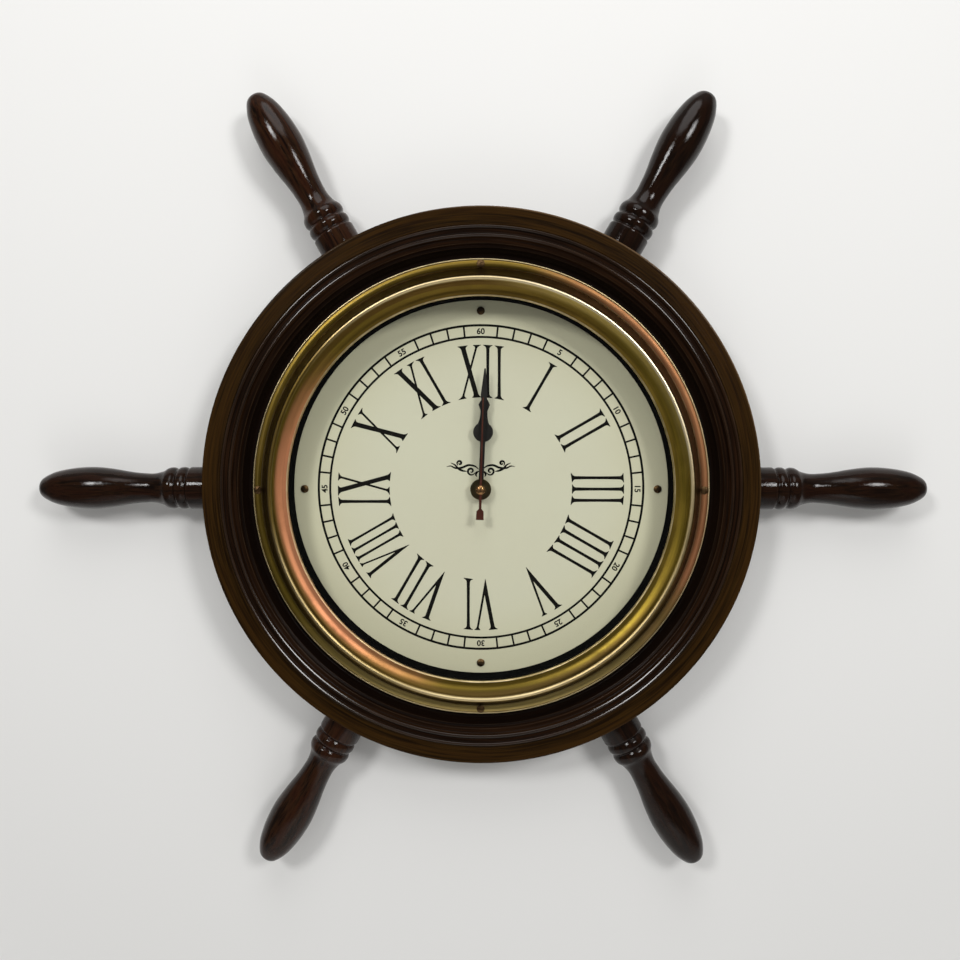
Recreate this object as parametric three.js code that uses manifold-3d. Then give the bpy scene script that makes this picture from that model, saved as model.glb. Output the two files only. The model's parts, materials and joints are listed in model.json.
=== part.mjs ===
// Ship wheel wall clock: a turned wooden ring with six turned handles, a brass bezel over a flat glass,
// a printed dial and a quartz movement whose gear train carries three hands. Sizes are in millimetres.
//
// The clock is drawn in a face frame, x to the right, y up and z out of the wall, with the wall at z = 0
// and the hands' axis on x = y = 0. The exported group turns that frame so that +Z is up and the dial
// faces -Y, and puts the origin on the hands' axis at the middle of the clock's depth.

import * as THREE from "three";
import { mergeVertices } from "three/addons/utils/BufferGeometryUtils.js";
import Module from "manifold-3d";

const wasm = await Module();
wasm.setup();

// Driving dimensions of the wheel
const DEPTH = 54;
const TIP_RADIUS = 305;
const RING_RADIUS = 187.5;
const RING_OPENING_RADIUS = 110;
const HANDLE_NAMES = ["right", "upper_right", "upper_left", "left", "lower_left", "lower_right"];
const HANDLE_AXIS_Z = 20;
const TENON_RADIUS = 8;
const TENON_LENGTH = 24;

// Driving dimensions of the dial well, the glass and the bezel
const WELL_RADIUS = 127.4;
const LEDGE_Z = 19.8;
const DIAL_Z = 22;
const DIAL_THICKNESS = 2;
const BEZEL_SEAT_Z = 33.5;
const BEZEL_RADIUS = 154.2;
const BEZEL_FLANGE_WIDTH = 8.4;
const BEZEL_RIDGE_RADIUS = 139.5;
const BEZEL_LIP_Z = 47.2;
const GLASS_SEAT_Z = 42.8;
const GLASS_RADIUS = 131.4;
const GLASS_THICKNESS = 2.4;
const GASKET_THICKNESS = 1;
const GASKET_OVERHANG = 0.6;

// Round-headed wood screws and the pilot holes that they go into
const SCREW_NAMES = ["right", "top", "left", "bottom"];
const BEZEL_SCREW_CIRCLE = 150.3;
const BEZEL_SCREW_SEAT_Z = 36.1;
const BEZEL_SCREW_LENGTH = 16.5;
const DIAL_SCREW_CIRCLE = 120;
const DIAL_SCREW_LENGTH = 14;
const SCREW_HEAD_RADIUS = 2.7;
const SCREW_HEAD_EDGE = 0.8;
const SCREW_HEAD_HEIGHT = 1.2;
const SCREW_SHANK_RADIUS = 1.3;
const SCREW_POINT_RADIUS = 0.8;
const SCREW_POINT_LENGTH = 2;
const SCREW_HOLE_RADIUS = 1.7;
const PILOT_SPARE = 0.7;

// Hanger: a steel strip let into the ring's back above the opening
const HANGER = {
  halfWidth: 14, bottom: 84, top: 136, corner: 4, thickness: 1.4, pocketDepth: 3,
  holeY: 93, holeRadius: 5.5, slotTop: 103, slotHalf: 2.4, screwX: 8, screwY: 124, screwLength: 12,
};

// Movement: case, battery bay, clamping pieces and motor
const CASE_HALF = 28;
const CASE_CORNER = 4;
const CASE_WALL = 1.5;
const CASE_FRONT_Z = 18.8;
const CASE_FRONT_THICKNESS = 1;
const CASE_BACK_Z = 5.6;
const CASE_OVERLAP = 0.4;
const COVER_BACK_Z = 4.2;
const COVER_FRONT_Z = 5.4;
const PIVOT_BACK_Z = 4.5;
const BAY_TOP_Y = -11.8;
const BAY_CORNER = 0.5;
const BUSH_RADIUS = 4.9;
const BUSH_TOP_Z = 27;
const SEAL_RADIUS = 9;
const CLAMP_RADIUS = 6.9;
const CLAMP_WASHER_THICKNESS = 0.8;
const CLAMP_NUT_THICKNESS = 2.2;
const BATTERY = { radius: 7.1, length: 49.2, y: -19.4, z: 10.5, bevel: 0.6, nubRadius: 2.7, nubLength: 1 };
const CONTACT = { radius: 5.5, thickness: 0.5, springFoot: 3.4, springTip: 1.8 };
const STATOR = {
  reach: 10.5, armWidth: 5, armTop: 12, poleHalf: 3.6, shoulder: 1.5, boreRadius: 2.9, thickness: 1,
};
const COIL = { flangeRadius: 3.4, flangeWidth: 1, windingRadius: 2.9 };
const BOARD = { left: 9, right: 25, bottom: 13, top: 25, thickness: 1 };

// Radii of the three concentric arbors and of the pins that the other wheels turn on
const SECOND_ARBOR_RADIUS = 0.5;
const MINUTE_ARBOR_RADIUS = 1.6;
const HOUR_PIPE_RADIUS = 2.6;
const ARBOR_STANDING_PROUD = 0.6;
const PIVOT_RADIUS = 0.5;
const MINUTE_STUD_RADIUS = 0.6;
const STEP_STUD_RADIUS = 0.3;
const STEP_BORE_RADIUS = 0.45;
const KNOB_SHAFT_RADIUS = 1.5;
const ROTOR_MAGNET_RADIUS = 2.4;
const RUNNING_CLEARANCE = 0.2;
const ARBOR_CLEARANCE = 0.25;

// Gear train: module and tooth counts of each mesh
const TRAIN_MODULE = 1 / 3;
const ROTOR_TEETH = 6;
const STEP_WHEEL_TEETH = 30;
const STEP_PINION_TEETH = 6;
const SECOND_WHEEL_TEETH = 36;
const SECOND_PINION_TEETH = 6;
const THIRD_WHEEL_TEETH = 45;
const THIRD_PINION_TEETH = 6;
const CENTRE_WHEEL_TEETH = 48;
const MOTION_MODULE = 0.5;
const CANNON_TEETH = 8;
const MINUTE_WHEEL_TEETH = 24;
const MINUTE_PINION_TEETH = 6;
const HOUR_WHEEL_TEETH = 24;
const KNOB_TEETH = 8;
const KNOB_GRIP_RIBS = 18;
const KNOB_GRIP_MODULE = 0.55;

// Back and front of each layer of the train
const LAYER = {
  knobGrip: [1.4, 3.8],
  rotorMagnet: [5.8, 7.9],
  rotorPinion: [7.7, 9.7],
  stepWheel: [8.7, 9.4],
  stepPinion: [9.2, 11.3],
  secondsWheel: [10.3, 11],
  secondsPinion: [10.8, 13],
  thirdWheel: [12, 12.7],
  thirdPinion: [12.5, 14.7],
  centreWheel: [13.7, 14.4],
  cannonPinion: [14.9, 16.2],
  knobPinion: [15, 16.2],
  minuteWheel: [15.2, 16],
  minutePinion: [15.8, 17.5],
  hourWheel: [16.6, 17.5],
};
const MINUTE_ARBOR_BACK_Z = 13.3;
const MINUTE_STUD_BACK_Z = 14.9;
const STEP_STUD_FRONT_Z = 11.6;
const ROTOR_PIVOT_FRONT_Z = 9.9;

// Directions, in degrees, in which the train's axes stand from the axis before them
const THIRD_DIRECTION = 160;
const MOTION_DIRECTION = 25;
const STEP_DIRECTION = 90;
const ROTOR_DIRECTION = 140;

// Tooth form, in modules, with a pressure angle in radians
const ADDENDUM = 0.72;
const DEDENDUM = 1.05;
const BACKLASH = 0.14;
const PRESSURE_ANGLE = THREE.MathUtils.degToRad(30);

// Hands, drawn along +y: height, angle clockwise from twelve as the photograph has it, and outline
const HAND_THICKNESS = 0.6;
const HOUR_HAND = {
  z: 27.6, angle: 2.4, bossRadius: 7.1, stemHalf: 1.7, bulbY: 38.8, bulbRadius: 6.7, bulbShoulder: 0.95,
  curveHalf: 2.4, curveY: 47, neckHalf: 2.3, neckY: 53, lozengeHalf: 3.9, lozengeY: 57.2,
  pointHalf: 1.6, pointY: 61.5, reach: 65.5,
};
const MINUTE_HAND = {
  z: 30.2, angle: 2.1, bossRadius: 4.6, stemHalf: 1.5, stemY: 58, bladeHalf: 2.3, bladeY: 64,
  tipHalf: 0.5, reach: 81.4,
};
const SECOND_HAND = {
  z: 33, angle: 1.6, bossRadius: 2.6, pointerHalf: 0.77, tipHalf: 0.35, reach: 62,
  tailHalf: 0.9, tailY: -12.8, paddleFootHalf: 2.4, paddleFootY: -14.4, paddleHalf: 2.6, tailReach: -20.3,
  colletRadius: 1.3, colletBack: 0.9, colletFront: 0.2,
};
const CAP = { radius: 3.2, edge: 0.7, crownRadius: 2, crownEdge: 1.5, height: 1.8 };

// Facets on round pieces, the gap between mating pieces and the distance at which vertices are one
const RING_SIDES = 48;
const HANDLE_SIDES = 12;
const SHAFT_SIDES = 12;
const SMALL_SIDES = 8;
const GAP = 0.3;
const THIN_GAP = 0.2;
const WELD = 1e-4;

// Axes of the wheels that stand beside the hands' axis
const CENTRE = new THREE.Vector2(0, 0);
const THIRD_DISTANCE = meshDistance(SECOND_PINION_TEETH, THIRD_WHEEL_TEETH, TRAIN_MODULE);
const THIRD_AXIS = beside(CENTRE, THIRD_DIRECTION, THIRD_DISTANCE);
const CENTRE_MODULE = (2 * THIRD_DISTANCE) / (THIRD_PINION_TEETH + CENTRE_WHEEL_TEETH);
const MOTION_DISTANCE = meshDistance(CANNON_TEETH, MINUTE_WHEEL_TEETH, MOTION_MODULE);
const MINUTE_WHEEL_AXIS = beside(CENTRE, MOTION_DIRECTION, MOTION_DISTANCE);
const HOUR_MODULE = (2 * MOTION_DISTANCE) / (MINUTE_PINION_TEETH + HOUR_WHEEL_TEETH);
const KNOB_DISTANCE = meshDistance(KNOB_TEETH, MINUTE_WHEEL_TEETH, MOTION_MODULE);
const KNOB_AXIS = beside(MINUTE_WHEEL_AXIS, MOTION_DIRECTION, KNOB_DISTANCE);
const STEP_DISTANCE = meshDistance(SECOND_WHEEL_TEETH, STEP_PINION_TEETH, TRAIN_MODULE);
const STEP_AXIS = beside(CENTRE, STEP_DIRECTION, STEP_DISTANCE);
const ROTOR_DISTANCE = meshDistance(STEP_WHEEL_TEETH, ROTOR_TEETH, TRAIN_MODULE);
const ROTOR_AXIS = beside(STEP_AXIS, ROTOR_DIRECTION, ROTOR_DISTANCE);

const FINISH = {
  walnut: finish("#4a2f1a", 0.35, 0),
  lacqueredHandle: finish("#3a1a12", 0.22, 0),
  brass: finish("#b08d45", 0.28, 1),
  darkBrass: finish("#5c4523", 0.45, 1),
  glass: finish("#dfe8e4", 0.05, 0),
  rubber: finish("#141414", 0.8, 0),
  dial: finish("#d8d6bc", 0.55, 0),
  blackHand: finish("#0d0c0c", 0.4, 0),
  redHand: finish("#4a130e", 0.4, 0),
  blackPlastic: finish("#17181a", 0.55, 0),
  whitePlastic: finish("#d9d7cf", 0.5, 0),
  steel: finish("#9a9c9e", 0.35, 1),
  copper: finish("#a85c34", 0.4, 1),
  board: finish("#1f5a37", 0.6, 0),
  batteryJacket: finish("#2c4a7a", 0.4, 0),
};

function finish(color, roughness, metalness) {
  return { color, roughness, metalness };
}

function meshDistance(teethA, teethB, module) {
  return ((teethA + teethB) * module) / 2;
}

function beside(from, degrees, distance) {
  const angle = THREE.MathUtils.degToRad(degrees);
  return new THREE.Vector2(from.x + distance * Math.cos(angle), from.y + distance * Math.sin(angle));
}

// A closed surface as shared vertices and triangles, without triangles that have collapsed on an axis.
function welded(geometry) {
  const bare = new THREE.BufferGeometry();
  bare.setAttribute("position", geometry.getAttribute("position"));
  bare.setIndex(geometry.getIndex());
  const shared = mergeVertices(bare, WELD);
  const index = shared.getIndex().array;
  const kept = [];
  for (let i = 0; i < index.length; i += 3) {
    const [a, b, c] = index.subarray(i, i + 3);
    if (a !== b && b !== c && c !== a) kept.push(a, b, c);
  }
  shared.setIndex(kept);
  return shared;
}

function solid(geometry) {
  const shell = welded(geometry);
  const vertProperties = new Float32Array(shell.getAttribute("position").array);
  const triVerts = new Uint32Array(shell.getIndex().array);
  return new wasm.Manifold(new wasm.Mesh({ numProp: 3, vertProperties, triVerts }));
}

function geometryOf(body) {
  const { vertProperties, triVerts } = body.getMesh();
  const geometry = new THREE.BufferGeometry();
  geometry.setAttribute("position", new THREE.BufferAttribute(new Float32Array(vertProperties), 3));
  geometry.setIndex(new THREE.BufferAttribute(new Uint32Array(triVerts), 1));
  return geometry;
}

function cut(geometry, ...tools) {
  const body = tools.reduce((rest, tool) => rest.subtract(solid(tool)), solid(geometry));
  return geometryOf(body);
}

function join(...geometries) {
  const body = geometries.map(solid).reduce((whole, piece) => whole.add(piece));
  return geometryOf(body);
}

// A profile of [radius, height] points, anticlockwise, turned about the z axis.
function turned(profile, sides) {
  const points = profile.map(([radius, height]) => new THREE.Vector2(radius, height));
  return new THREE.LatheGeometry(points, sides).rotateX(Math.PI / 2);
}

function rod(radius, z0, z1, sides = SHAFT_SIDES) {
  return turned([[0, z0], [radius, z0], [radius, z1], [0, z1]], sides);
}

function tube(inner, outer, z0, z1, sides = SHAFT_SIDES) {
  return turned([[inner, z0], [outer, z0], [outer, z1], [inner, z1], [inner, z0]], sides);
}

function slab(shape, z0, z1, curveSegments = 6) {
  const geometry = new THREE.ExtrudeGeometry(shape, { depth: z1 - z0, bevelEnabled: false, curveSegments });
  return geometry.translate(0, 0, z0);
}

function block(x0, x1, y0, y1, z0, z1) {
  const geometry = new THREE.BoxGeometry(x1 - x0, y1 - y0, z1 - z0);
  return geometry.translate((x0 + x1) / 2, (y0 + y1) / 2, (z0 + z1) / 2);
}

function at(geometry, axis) {
  return geometry.translate(axis.x, axis.y, 0);
}

function outlineOf(points) {
  return new THREE.Shape(points.map(([x, y]) => new THREE.Vector2(x, y)));
}

function polar(radius, angle) {
  return [radius * Math.cos(angle), radius * Math.sin(angle)];
}

function polygon(radius, sides) {
  return outlineOf(Array.from({ length: sides }, (_, i) => polar(radius, (2 * Math.PI * i) / sides)));
}

function roundedRectangle(x0, x1, y0, y1, corner) {
  const shape = new THREE.Shape();
  shape.absarc(x1 - corner, y0 + corner, corner, -Math.PI / 2, 0);
  shape.absarc(x1 - corner, y1 - corner, corner, 0, Math.PI / 2);
  shape.absarc(x0 + corner, y1 - corner, corner, Math.PI / 2, Math.PI);
  shape.absarc(x0 + corner, y0 + corner, corner, Math.PI, 1.5 * Math.PI);
  shape.closePath();
  return shape;
}

function roundHole(axis, radius) {
  return new THREE.Path().absarc(axis.x, axis.y, radius, 0, 2 * Math.PI, true);
}

// Angle by which an involute has turned away from its base circle at a given pressure angle
function involute(angle) {
  return Math.tan(angle) - angle;
}

// A spur gear with a tooth centred on toothAngle. Its flanks are chords of involutes, thinned for backlash.
function gear(teeth, module, toothAngle, [z0, z1], boreRadius = 0) {
  const pitch = (teeth * module) / 2;
  const base = pitch * Math.cos(PRESSURE_ANGLE);
  const tip = pitch + ADDENDUM * module;
  const root = pitch - DEDENDUM * module;
  const halfAtBase = Math.PI / (2 * teeth) + involute(PRESSURE_ANGLE) - (BACKLASH * module) / (2 * pitch);
  const halfAt = (radius) => halfAtBase - (radius > base ? involute(Math.acos(base / radius)) : 0);
  const corners = [[root, -halfAt(root)], [tip, -halfAt(tip)], [tip, halfAt(tip)], [root, halfAt(root)]];
  const points = Array.from({ length: teeth }, (_, i) => {
    const middle = toothAngle + (2 * Math.PI * i) / teeth;
    return corners.map(([radius, turn]) => polar(radius, middle + turn));
  });
  const shape = outlineOf(points.flat());
  if (boreRadius > 0) shape.holes.push(roundHole(CENTRE, boreRadius));
  return slab(shape, z0, z1);
}

// Tooth angles of two gears in mesh: the wheel has a tooth on the line of centres, the pinion a space.
function wheelTooth(wheelAxis, pinionAxis) {
  return pinionAxis.clone().sub(wheelAxis).angle();
}

function pinionTooth(pinionAxis, wheelAxis, teeth) {
  return wheelAxis.clone().sub(pinionAxis).angle() + Math.PI / teeth;
}

const face = new THREE.Group();

function add(name, geometry, look) {
  const mesh = new THREE.Mesh(geometry, new THREE.MeshStandardMaterial(look));
  mesh.name = name;
  face.add(mesh);
  return mesh;
}

function screwCircle(radius) {
  const step = 360 / SCREW_NAMES.length;
  return SCREW_NAMES.map((name, i) => ({ name, axis: beside(CENTRE, step * i, radius) }));
}

function screwHole(axis, z0, z1) {
  return at(rod(SCREW_HOLE_RADIUS, z0, z1, SMALL_SIDES), axis);
}

// Pilot holes for a circle of screws whose heads sit at seatZ, open at the wood's surface
function pilotHoles(circle, surfaceZ, seatZ, length) {
  return screwCircle(circle).map(({ axis }) => screwHole(axis, seatZ - length - PILOT_SPARE, surfaceZ + 1));
}

// Wheel ring: outer band, two beads with a hollow between them, an ogee and a cove down to the bezel's seat,
// then the raised collar under the bezel, the dial well and the ledge that carries the dial.
function wheelRing() {
  const profile = [
    [RING_OPENING_RADIUS, 0],
    [RING_RADIUS - 2, 0],
    [RING_RADIUS, 2],
    [RING_RADIUS, 35.6],
    [RING_RADIUS - 0.9, 37.9],
    [RING_RADIUS - 2.9, 39.4],
    [182, 40.4],
    [177.4, 40.8],
    [176.2, 39.9],
    [175.3, 42.2],
    [174.1, 43],
    [172.9, 42.2],
    [171, 41.5],
    [169.3, 42.9],
    [168.1, 44.2],
    [166.9, 43.6],
    [165, 41.4],
    [163.2, 40.9],
    [162.2, 39.3],
    [160.8, 38.8],
    [158.6, 36],
    [156.4, BEZEL_SEAT_Z],
    [143, BEZEL_SEAT_Z],
    [138, GLASS_SEAT_Z],
    [WELL_RADIUS, GLASS_SEAT_Z],
    [WELL_RADIUS, LEDGE_Z],
    [RING_OPENING_RADIUS, LEDGE_Z],
    [RING_OPENING_RADIUS, 0],
  ];
  const { halfWidth, bottom, top, pocketDepth, screwLength } = HANGER;
  const pocket = block(-halfWidth - GAP, halfWidth + GAP, bottom, top + GAP, -1, pocketDepth);
  const hangerPilots = hangerScrewAxes()
    .map(({ axis }) => screwHole(axis, pocketDepth - 1, hangerBackZ() + screwLength + PILOT_SPARE));
  return cut(
    turned(profile, RING_SIDES),
    ...handleAngles().map(handleSocket),
    ...pilotHoles(BEZEL_SCREW_CIRCLE, BEZEL_SEAT_Z, BEZEL_SCREW_SEAT_Z, BEZEL_SCREW_LENGTH),
    ...pilotHoles(DIAL_SCREW_CIRCLE, LEDGE_Z, DIAL_Z, DIAL_SCREW_LENGTH),
    pocket,
    ...hangerPilots,
  );
}

function handleAngles() {
  return HANDLE_NAMES.map((_, i) => (2 * Math.PI * i) / HANDLE_NAMES.length);
}

// A blind hole in the ring's rim for a handle's tenon, a little deeper than the tenon and open past the rim
function handleSocket(angle) {
  const inner = RING_RADIUS - TENON_LENGTH - 1;
  const outer = RING_RADIUS + TENON_RADIUS;
  const radius = TENON_RADIUS + GAP;
  const socket = new THREE.CylinderGeometry(radius, radius, outer - inner, HANDLE_SIDES);
  socket.translate(0, (inner + outer) / 2, HANDLE_AXIS_Z);
  return socket.rotateZ(angle - Math.PI / 2);
}

// One turned handle along +y: the tenon inside the ring, a collar, two beads and a swelled grip.
function handle() {
  const shoulder = RING_RADIUS + GAP;
  const profile = [
    [0, RING_RADIUS - TENON_LENGTH],
    [TENON_RADIUS, RING_RADIUS - TENON_LENGTH],
    [TENON_RADIUS, shoulder],
    [14.5, shoulder],
    [14.5, 200.2],
    [13, 201.4],
    [14.5, 203.9],
    [14.5, 206.9],
    [12.9, 209.2],
    [14.4, 211.7],
    [14.2, 215.2],
    [11.7, 218.8],
    [9.8, 226],
    [10.6, 239],
    [13.6, 256],
    [14.8, 269],
    [13.9, 282],
    [10.2, 299],
    [7.6, 303.8],
    [3.6, TIP_RADIUS],
    [0, TIP_RADIUS],
  ];
  const points = profile.map(([radius, along]) => new THREE.Vector2(radius, along));
  return new THREE.LatheGeometry(points, HANDLE_SIDES);
}

function addHandles() {
  handleAngles().forEach((angle, i) => {
    const mesh = add(`handle_${HANDLE_NAMES[i]}`, handle(), FINISH.lacqueredHandle);
    mesh.rotation.z = angle - Math.PI / 2;
    mesh.position.z = HANDLE_AXIS_Z;
  });
}

// Brass bezel: a pressed ring with a screwed flange, a steep wall, a ridge and a hollow face down to the lip.
function bezel() {
  const flangeBottom = BEZEL_SEAT_Z + GAP;
  const flangeInner = BEZEL_RADIUS - BEZEL_FLANGE_WIDTH;
  const lipRadius = WELL_RADIUS + 0.1;
  const profile = [
    [flangeInner, flangeBottom],
    [BEZEL_RADIUS, flangeBottom],
    [BEZEL_RADIUS, 34.9],
    [BEZEL_RADIUS - 1.6, 35.9],
    [150.4, BEZEL_SCREW_SEAT_Z],
    [147.6, 35.5],
    [146.7, 36.8],
    [143.6, 45],
    [141.8, 51.6],
    [141, 53.3],
    [BEZEL_RIDGE_RADIUS, DEPTH],
    [138, 53.3],
    [136.2, 51.6],
    [132.6, 49.8],
    [129.4, 49.3],
    [lipRadius + 0.6, 49.1],
    [lipRadius, 48.4],
    [lipRadius, BEZEL_LIP_Z],
    [133.2, BEZEL_LIP_Z],
    [137.3, 49.8],
    [139.6, 51.4],
    [141.8, 44.6],
    [flangeInner, flangeBottom],
  ];
  const holes = screwCircle(BEZEL_SCREW_CIRCLE)
    .map(({ axis }) => screwHole(axis, BEZEL_SEAT_Z - 1, BEZEL_SCREW_SEAT_Z + 1));
  return cut(turned(profile, RING_SIDES), ...holes);
}

// A round-headed wood screw along z, with its head seated at seatZ and its point behind.
function woodScrew(seatZ, length) {
  const headZ = seatZ + THIN_GAP;
  const pointZ = seatZ - length;
  return turned([
    [0, pointZ],
    [SCREW_POINT_RADIUS, pointZ],
    [SCREW_SHANK_RADIUS, pointZ + SCREW_POINT_LENGTH],
    [SCREW_SHANK_RADIUS, headZ],
    [SCREW_HEAD_RADIUS, headZ],
    [SCREW_HEAD_RADIUS * 0.8, headZ + SCREW_HEAD_EDGE],
    [0, headZ + SCREW_HEAD_HEIGHT],
  ], SMALL_SIDES);
}

function addScrews(prefix, circle, seatZ, length) {
  for (const { name, axis } of screwCircle(circle)) {
    add(`${prefix}_${name}`, at(woodScrew(seatZ, length), axis), FINISH.darkBrass);
  }
}

function dialPlate() {
  const shape = polygon(WELL_RADIUS - GAP, RING_SIDES);
  shape.holes.push(roundHole(CENTRE, BUSH_RADIUS + GAP));
  for (const { axis } of screwCircle(DIAL_SCREW_CIRCLE)) shape.holes.push(roundHole(axis, SCREW_HOLE_RADIUS));
  return slab(shape, DIAL_Z - DIAL_THICKNESS, DIAL_Z, SMALL_SIDES);
}

function glassGasket(gasketZ) {
  const inner = WELL_RADIUS + GASKET_OVERHANG;
  const outer = GLASS_RADIUS + GASKET_OVERHANG;
  return tube(inner, outer, gasketZ, gasketZ + GASKET_THICKNESS, RING_SIDES);
}

function addFront() {
  const gasketZ = GLASS_SEAT_Z + THIN_GAP;
  const glassZ = gasketZ + GASKET_THICKNESS + THIN_GAP;
  add("wheel_ring", wheelRing(), FINISH.walnut);
  addHandles();
  add("bezel", bezel(), FINISH.brass);
  addScrews("bezel_screw", BEZEL_SCREW_CIRCLE, BEZEL_SCREW_SEAT_Z, BEZEL_SCREW_LENGTH);
  add("glass_gasket", glassGasket(gasketZ), FINISH.rubber);
  add("glass", rod(GLASS_RADIUS, glassZ, glassZ + GLASS_THICKNESS, RING_SIDES), FINISH.glass);
  add("dial_plate", dialPlate(), FINISH.dial);
  addScrews("dial_screw", DIAL_SCREW_CIRCLE, DIAL_Z, DIAL_SCREW_LENGTH);
}

// Hour hand: a round boss, a stem, a round bulb, a drawn-in neck and a lozenge at the tip.
function hourHand() {
  const hand = HOUR_HAND;
  const stemTurn = Math.acos(hand.stemHalf / hand.bossRadius);
  const bulbFoot = Math.acos(hand.stemHalf / hand.bulbRadius);
  const shoulderX = hand.bulbRadius * Math.cos(hand.bulbShoulder);
  const shoulderY = hand.bulbY + hand.bulbRadius * Math.sin(hand.bulbShoulder);
  const shape = new THREE.Shape();
  shape.absarc(0, 0, hand.bossRadius, Math.PI - stemTurn, 2 * Math.PI + stemTurn);
  shape.absarc(0, hand.bulbY, hand.bulbRadius, -bulbFoot, hand.bulbShoulder);
  shape.quadraticCurveTo(hand.curveHalf, hand.curveY, hand.neckHalf, hand.neckY);
  shape.lineTo(hand.lozengeHalf, hand.lozengeY);
  shape.lineTo(hand.pointHalf, hand.pointY);
  shape.lineTo(0, hand.reach);
  shape.lineTo(-hand.pointHalf, hand.pointY);
  shape.lineTo(-hand.lozengeHalf, hand.lozengeY);
  shape.lineTo(-hand.neckHalf, hand.neckY);
  shape.quadraticCurveTo(-hand.curveHalf, hand.curveY, -shoulderX, shoulderY);
  shape.absarc(0, hand.bulbY, hand.bulbRadius, Math.PI - hand.bulbShoulder, Math.PI + bulbFoot);
  shape.closePath();
  shape.holes.push(roundHole(CENTRE, HOUR_PIPE_RADIUS + THIN_GAP));
  return slab(shape, hand.z, hand.z + HAND_THICKNESS);
}

// Minute hand: a smaller boss, a slim stem and a long tapering blade.
function minuteHand() {
  const hand = MINUTE_HAND;
  const stemTurn = Math.asin(hand.stemHalf / hand.bossRadius);
  const shape = new THREE.Shape();
  shape.absarc(0, 0, hand.bossRadius, Math.PI / 2 + stemTurn, 2.5 * Math.PI - stemTurn);
  shape.lineTo(hand.stemHalf, hand.stemY);
  shape.lineTo(hand.bladeHalf, hand.bladeY);
  shape.lineTo(hand.tipHalf, hand.reach);
  shape.lineTo(-hand.tipHalf, hand.reach);
  shape.lineTo(-hand.bladeHalf, hand.bladeY);
  shape.lineTo(-hand.stemHalf, hand.stemY);
  shape.closePath();
  shape.holes.push(roundHole(CENTRE, MINUTE_ARBOR_RADIUS + THIN_GAP));
  return slab(shape, hand.z, hand.z + HAND_THICKNESS);
}

// Seconds hand: a thin pointer with a paddle on its tail, on a short collet pressed on the seconds arbor.
function secondsHand() {
  const hand = SECOND_HAND;
  const pointerTurn = Math.asin(hand.pointerHalf / hand.bossRadius);
  const tailTurn = Math.asin(hand.tailHalf / hand.bossRadius);
  const bore = SECOND_ARBOR_RADIUS + THIN_GAP;
  const shape = new THREE.Shape();
  shape.absarc(0, 0, hand.bossRadius, -Math.PI / 2 + tailTurn, Math.PI / 2 - pointerTurn);
  shape.lineTo(hand.tipHalf, hand.reach);
  shape.lineTo(-hand.tipHalf, hand.reach);
  shape.absarc(0, 0, hand.bossRadius, Math.PI / 2 + pointerTurn, 1.5 * Math.PI - tailTurn);
  shape.lineTo(-hand.tailHalf, hand.tailY);
  shape.lineTo(-hand.paddleFootHalf, hand.paddleFootY);
  shape.lineTo(-hand.paddleHalf, hand.tailReach);
  shape.lineTo(hand.paddleHalf, hand.tailReach);
  shape.lineTo(hand.paddleFootHalf, hand.paddleFootY);
  shape.lineTo(hand.tailHalf, hand.tailY);
  shape.closePath();
  shape.holes.push(roundHole(CENTRE, bore));
  const pointer = slab(shape, hand.z, hand.z + HAND_THICKNESS);
  return join(pointer, tube(bore, hand.colletRadius, hand.z - hand.colletBack, hand.z + hand.colletFront));
}

function addHand(name, geometry, clockwise, look) {
  add(name, geometry, look).rotation.z = -THREE.MathUtils.degToRad(clockwise);
}

function addHands() {
  addHand("hour_hand", hourHand(), HOUR_HAND.angle, FINISH.blackHand);
  addHand("minute_hand", minuteHand(), MINUTE_HAND.angle, FINISH.blackHand);
  addHand("seconds_hand", secondsHand(), SECOND_HAND.angle, FINISH.redHand);
  const capZ = SECOND_HAND.z + HAND_THICKNESS + THIN_GAP;
  const cap = [
    [0, capZ],
    [CAP.radius, capZ],
    [CAP.radius, capZ + CAP.edge],
    [CAP.crownRadius, capZ + CAP.crownEdge],
    [0, capZ + CAP.height],
  ];
  add("seconds_hand_cap", turned(cap, SHAFT_SIDES), FINISH.brass);
}

// Parts that clamp the movement to the dial: a rubber seal behind it, a washer and a hexagon nut before it
function addClamp() {
  const washerZ = DIAL_Z + THIN_GAP;
  const nutZ = washerZ + CLAMP_WASHER_THICKNESS + THIN_GAP;
  const bore = BUSH_RADIUS + THIN_GAP;
  const behindDial = DIAL_Z - DIAL_THICKNESS - THIN_GAP;
  const hexagon = polygon(CLAMP_RADIUS, 6);
  hexagon.holes.push(roundHole(CENTRE, bore));
  add("movement_seal", tube(bore, SEAL_RADIUS, CASE_FRONT_Z + THIN_GAP, behindDial), FINISH.rubber);
  add("clamp_washer", tube(bore, CLAMP_RADIUS, washerZ, washerZ + CLAMP_WASHER_THICKNESS), FINISH.brass);
  add("clamp_nut", slab(hexagon, nutZ, nutZ + CLAMP_NUT_THICKNESS), FINISH.brass);
}

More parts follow.
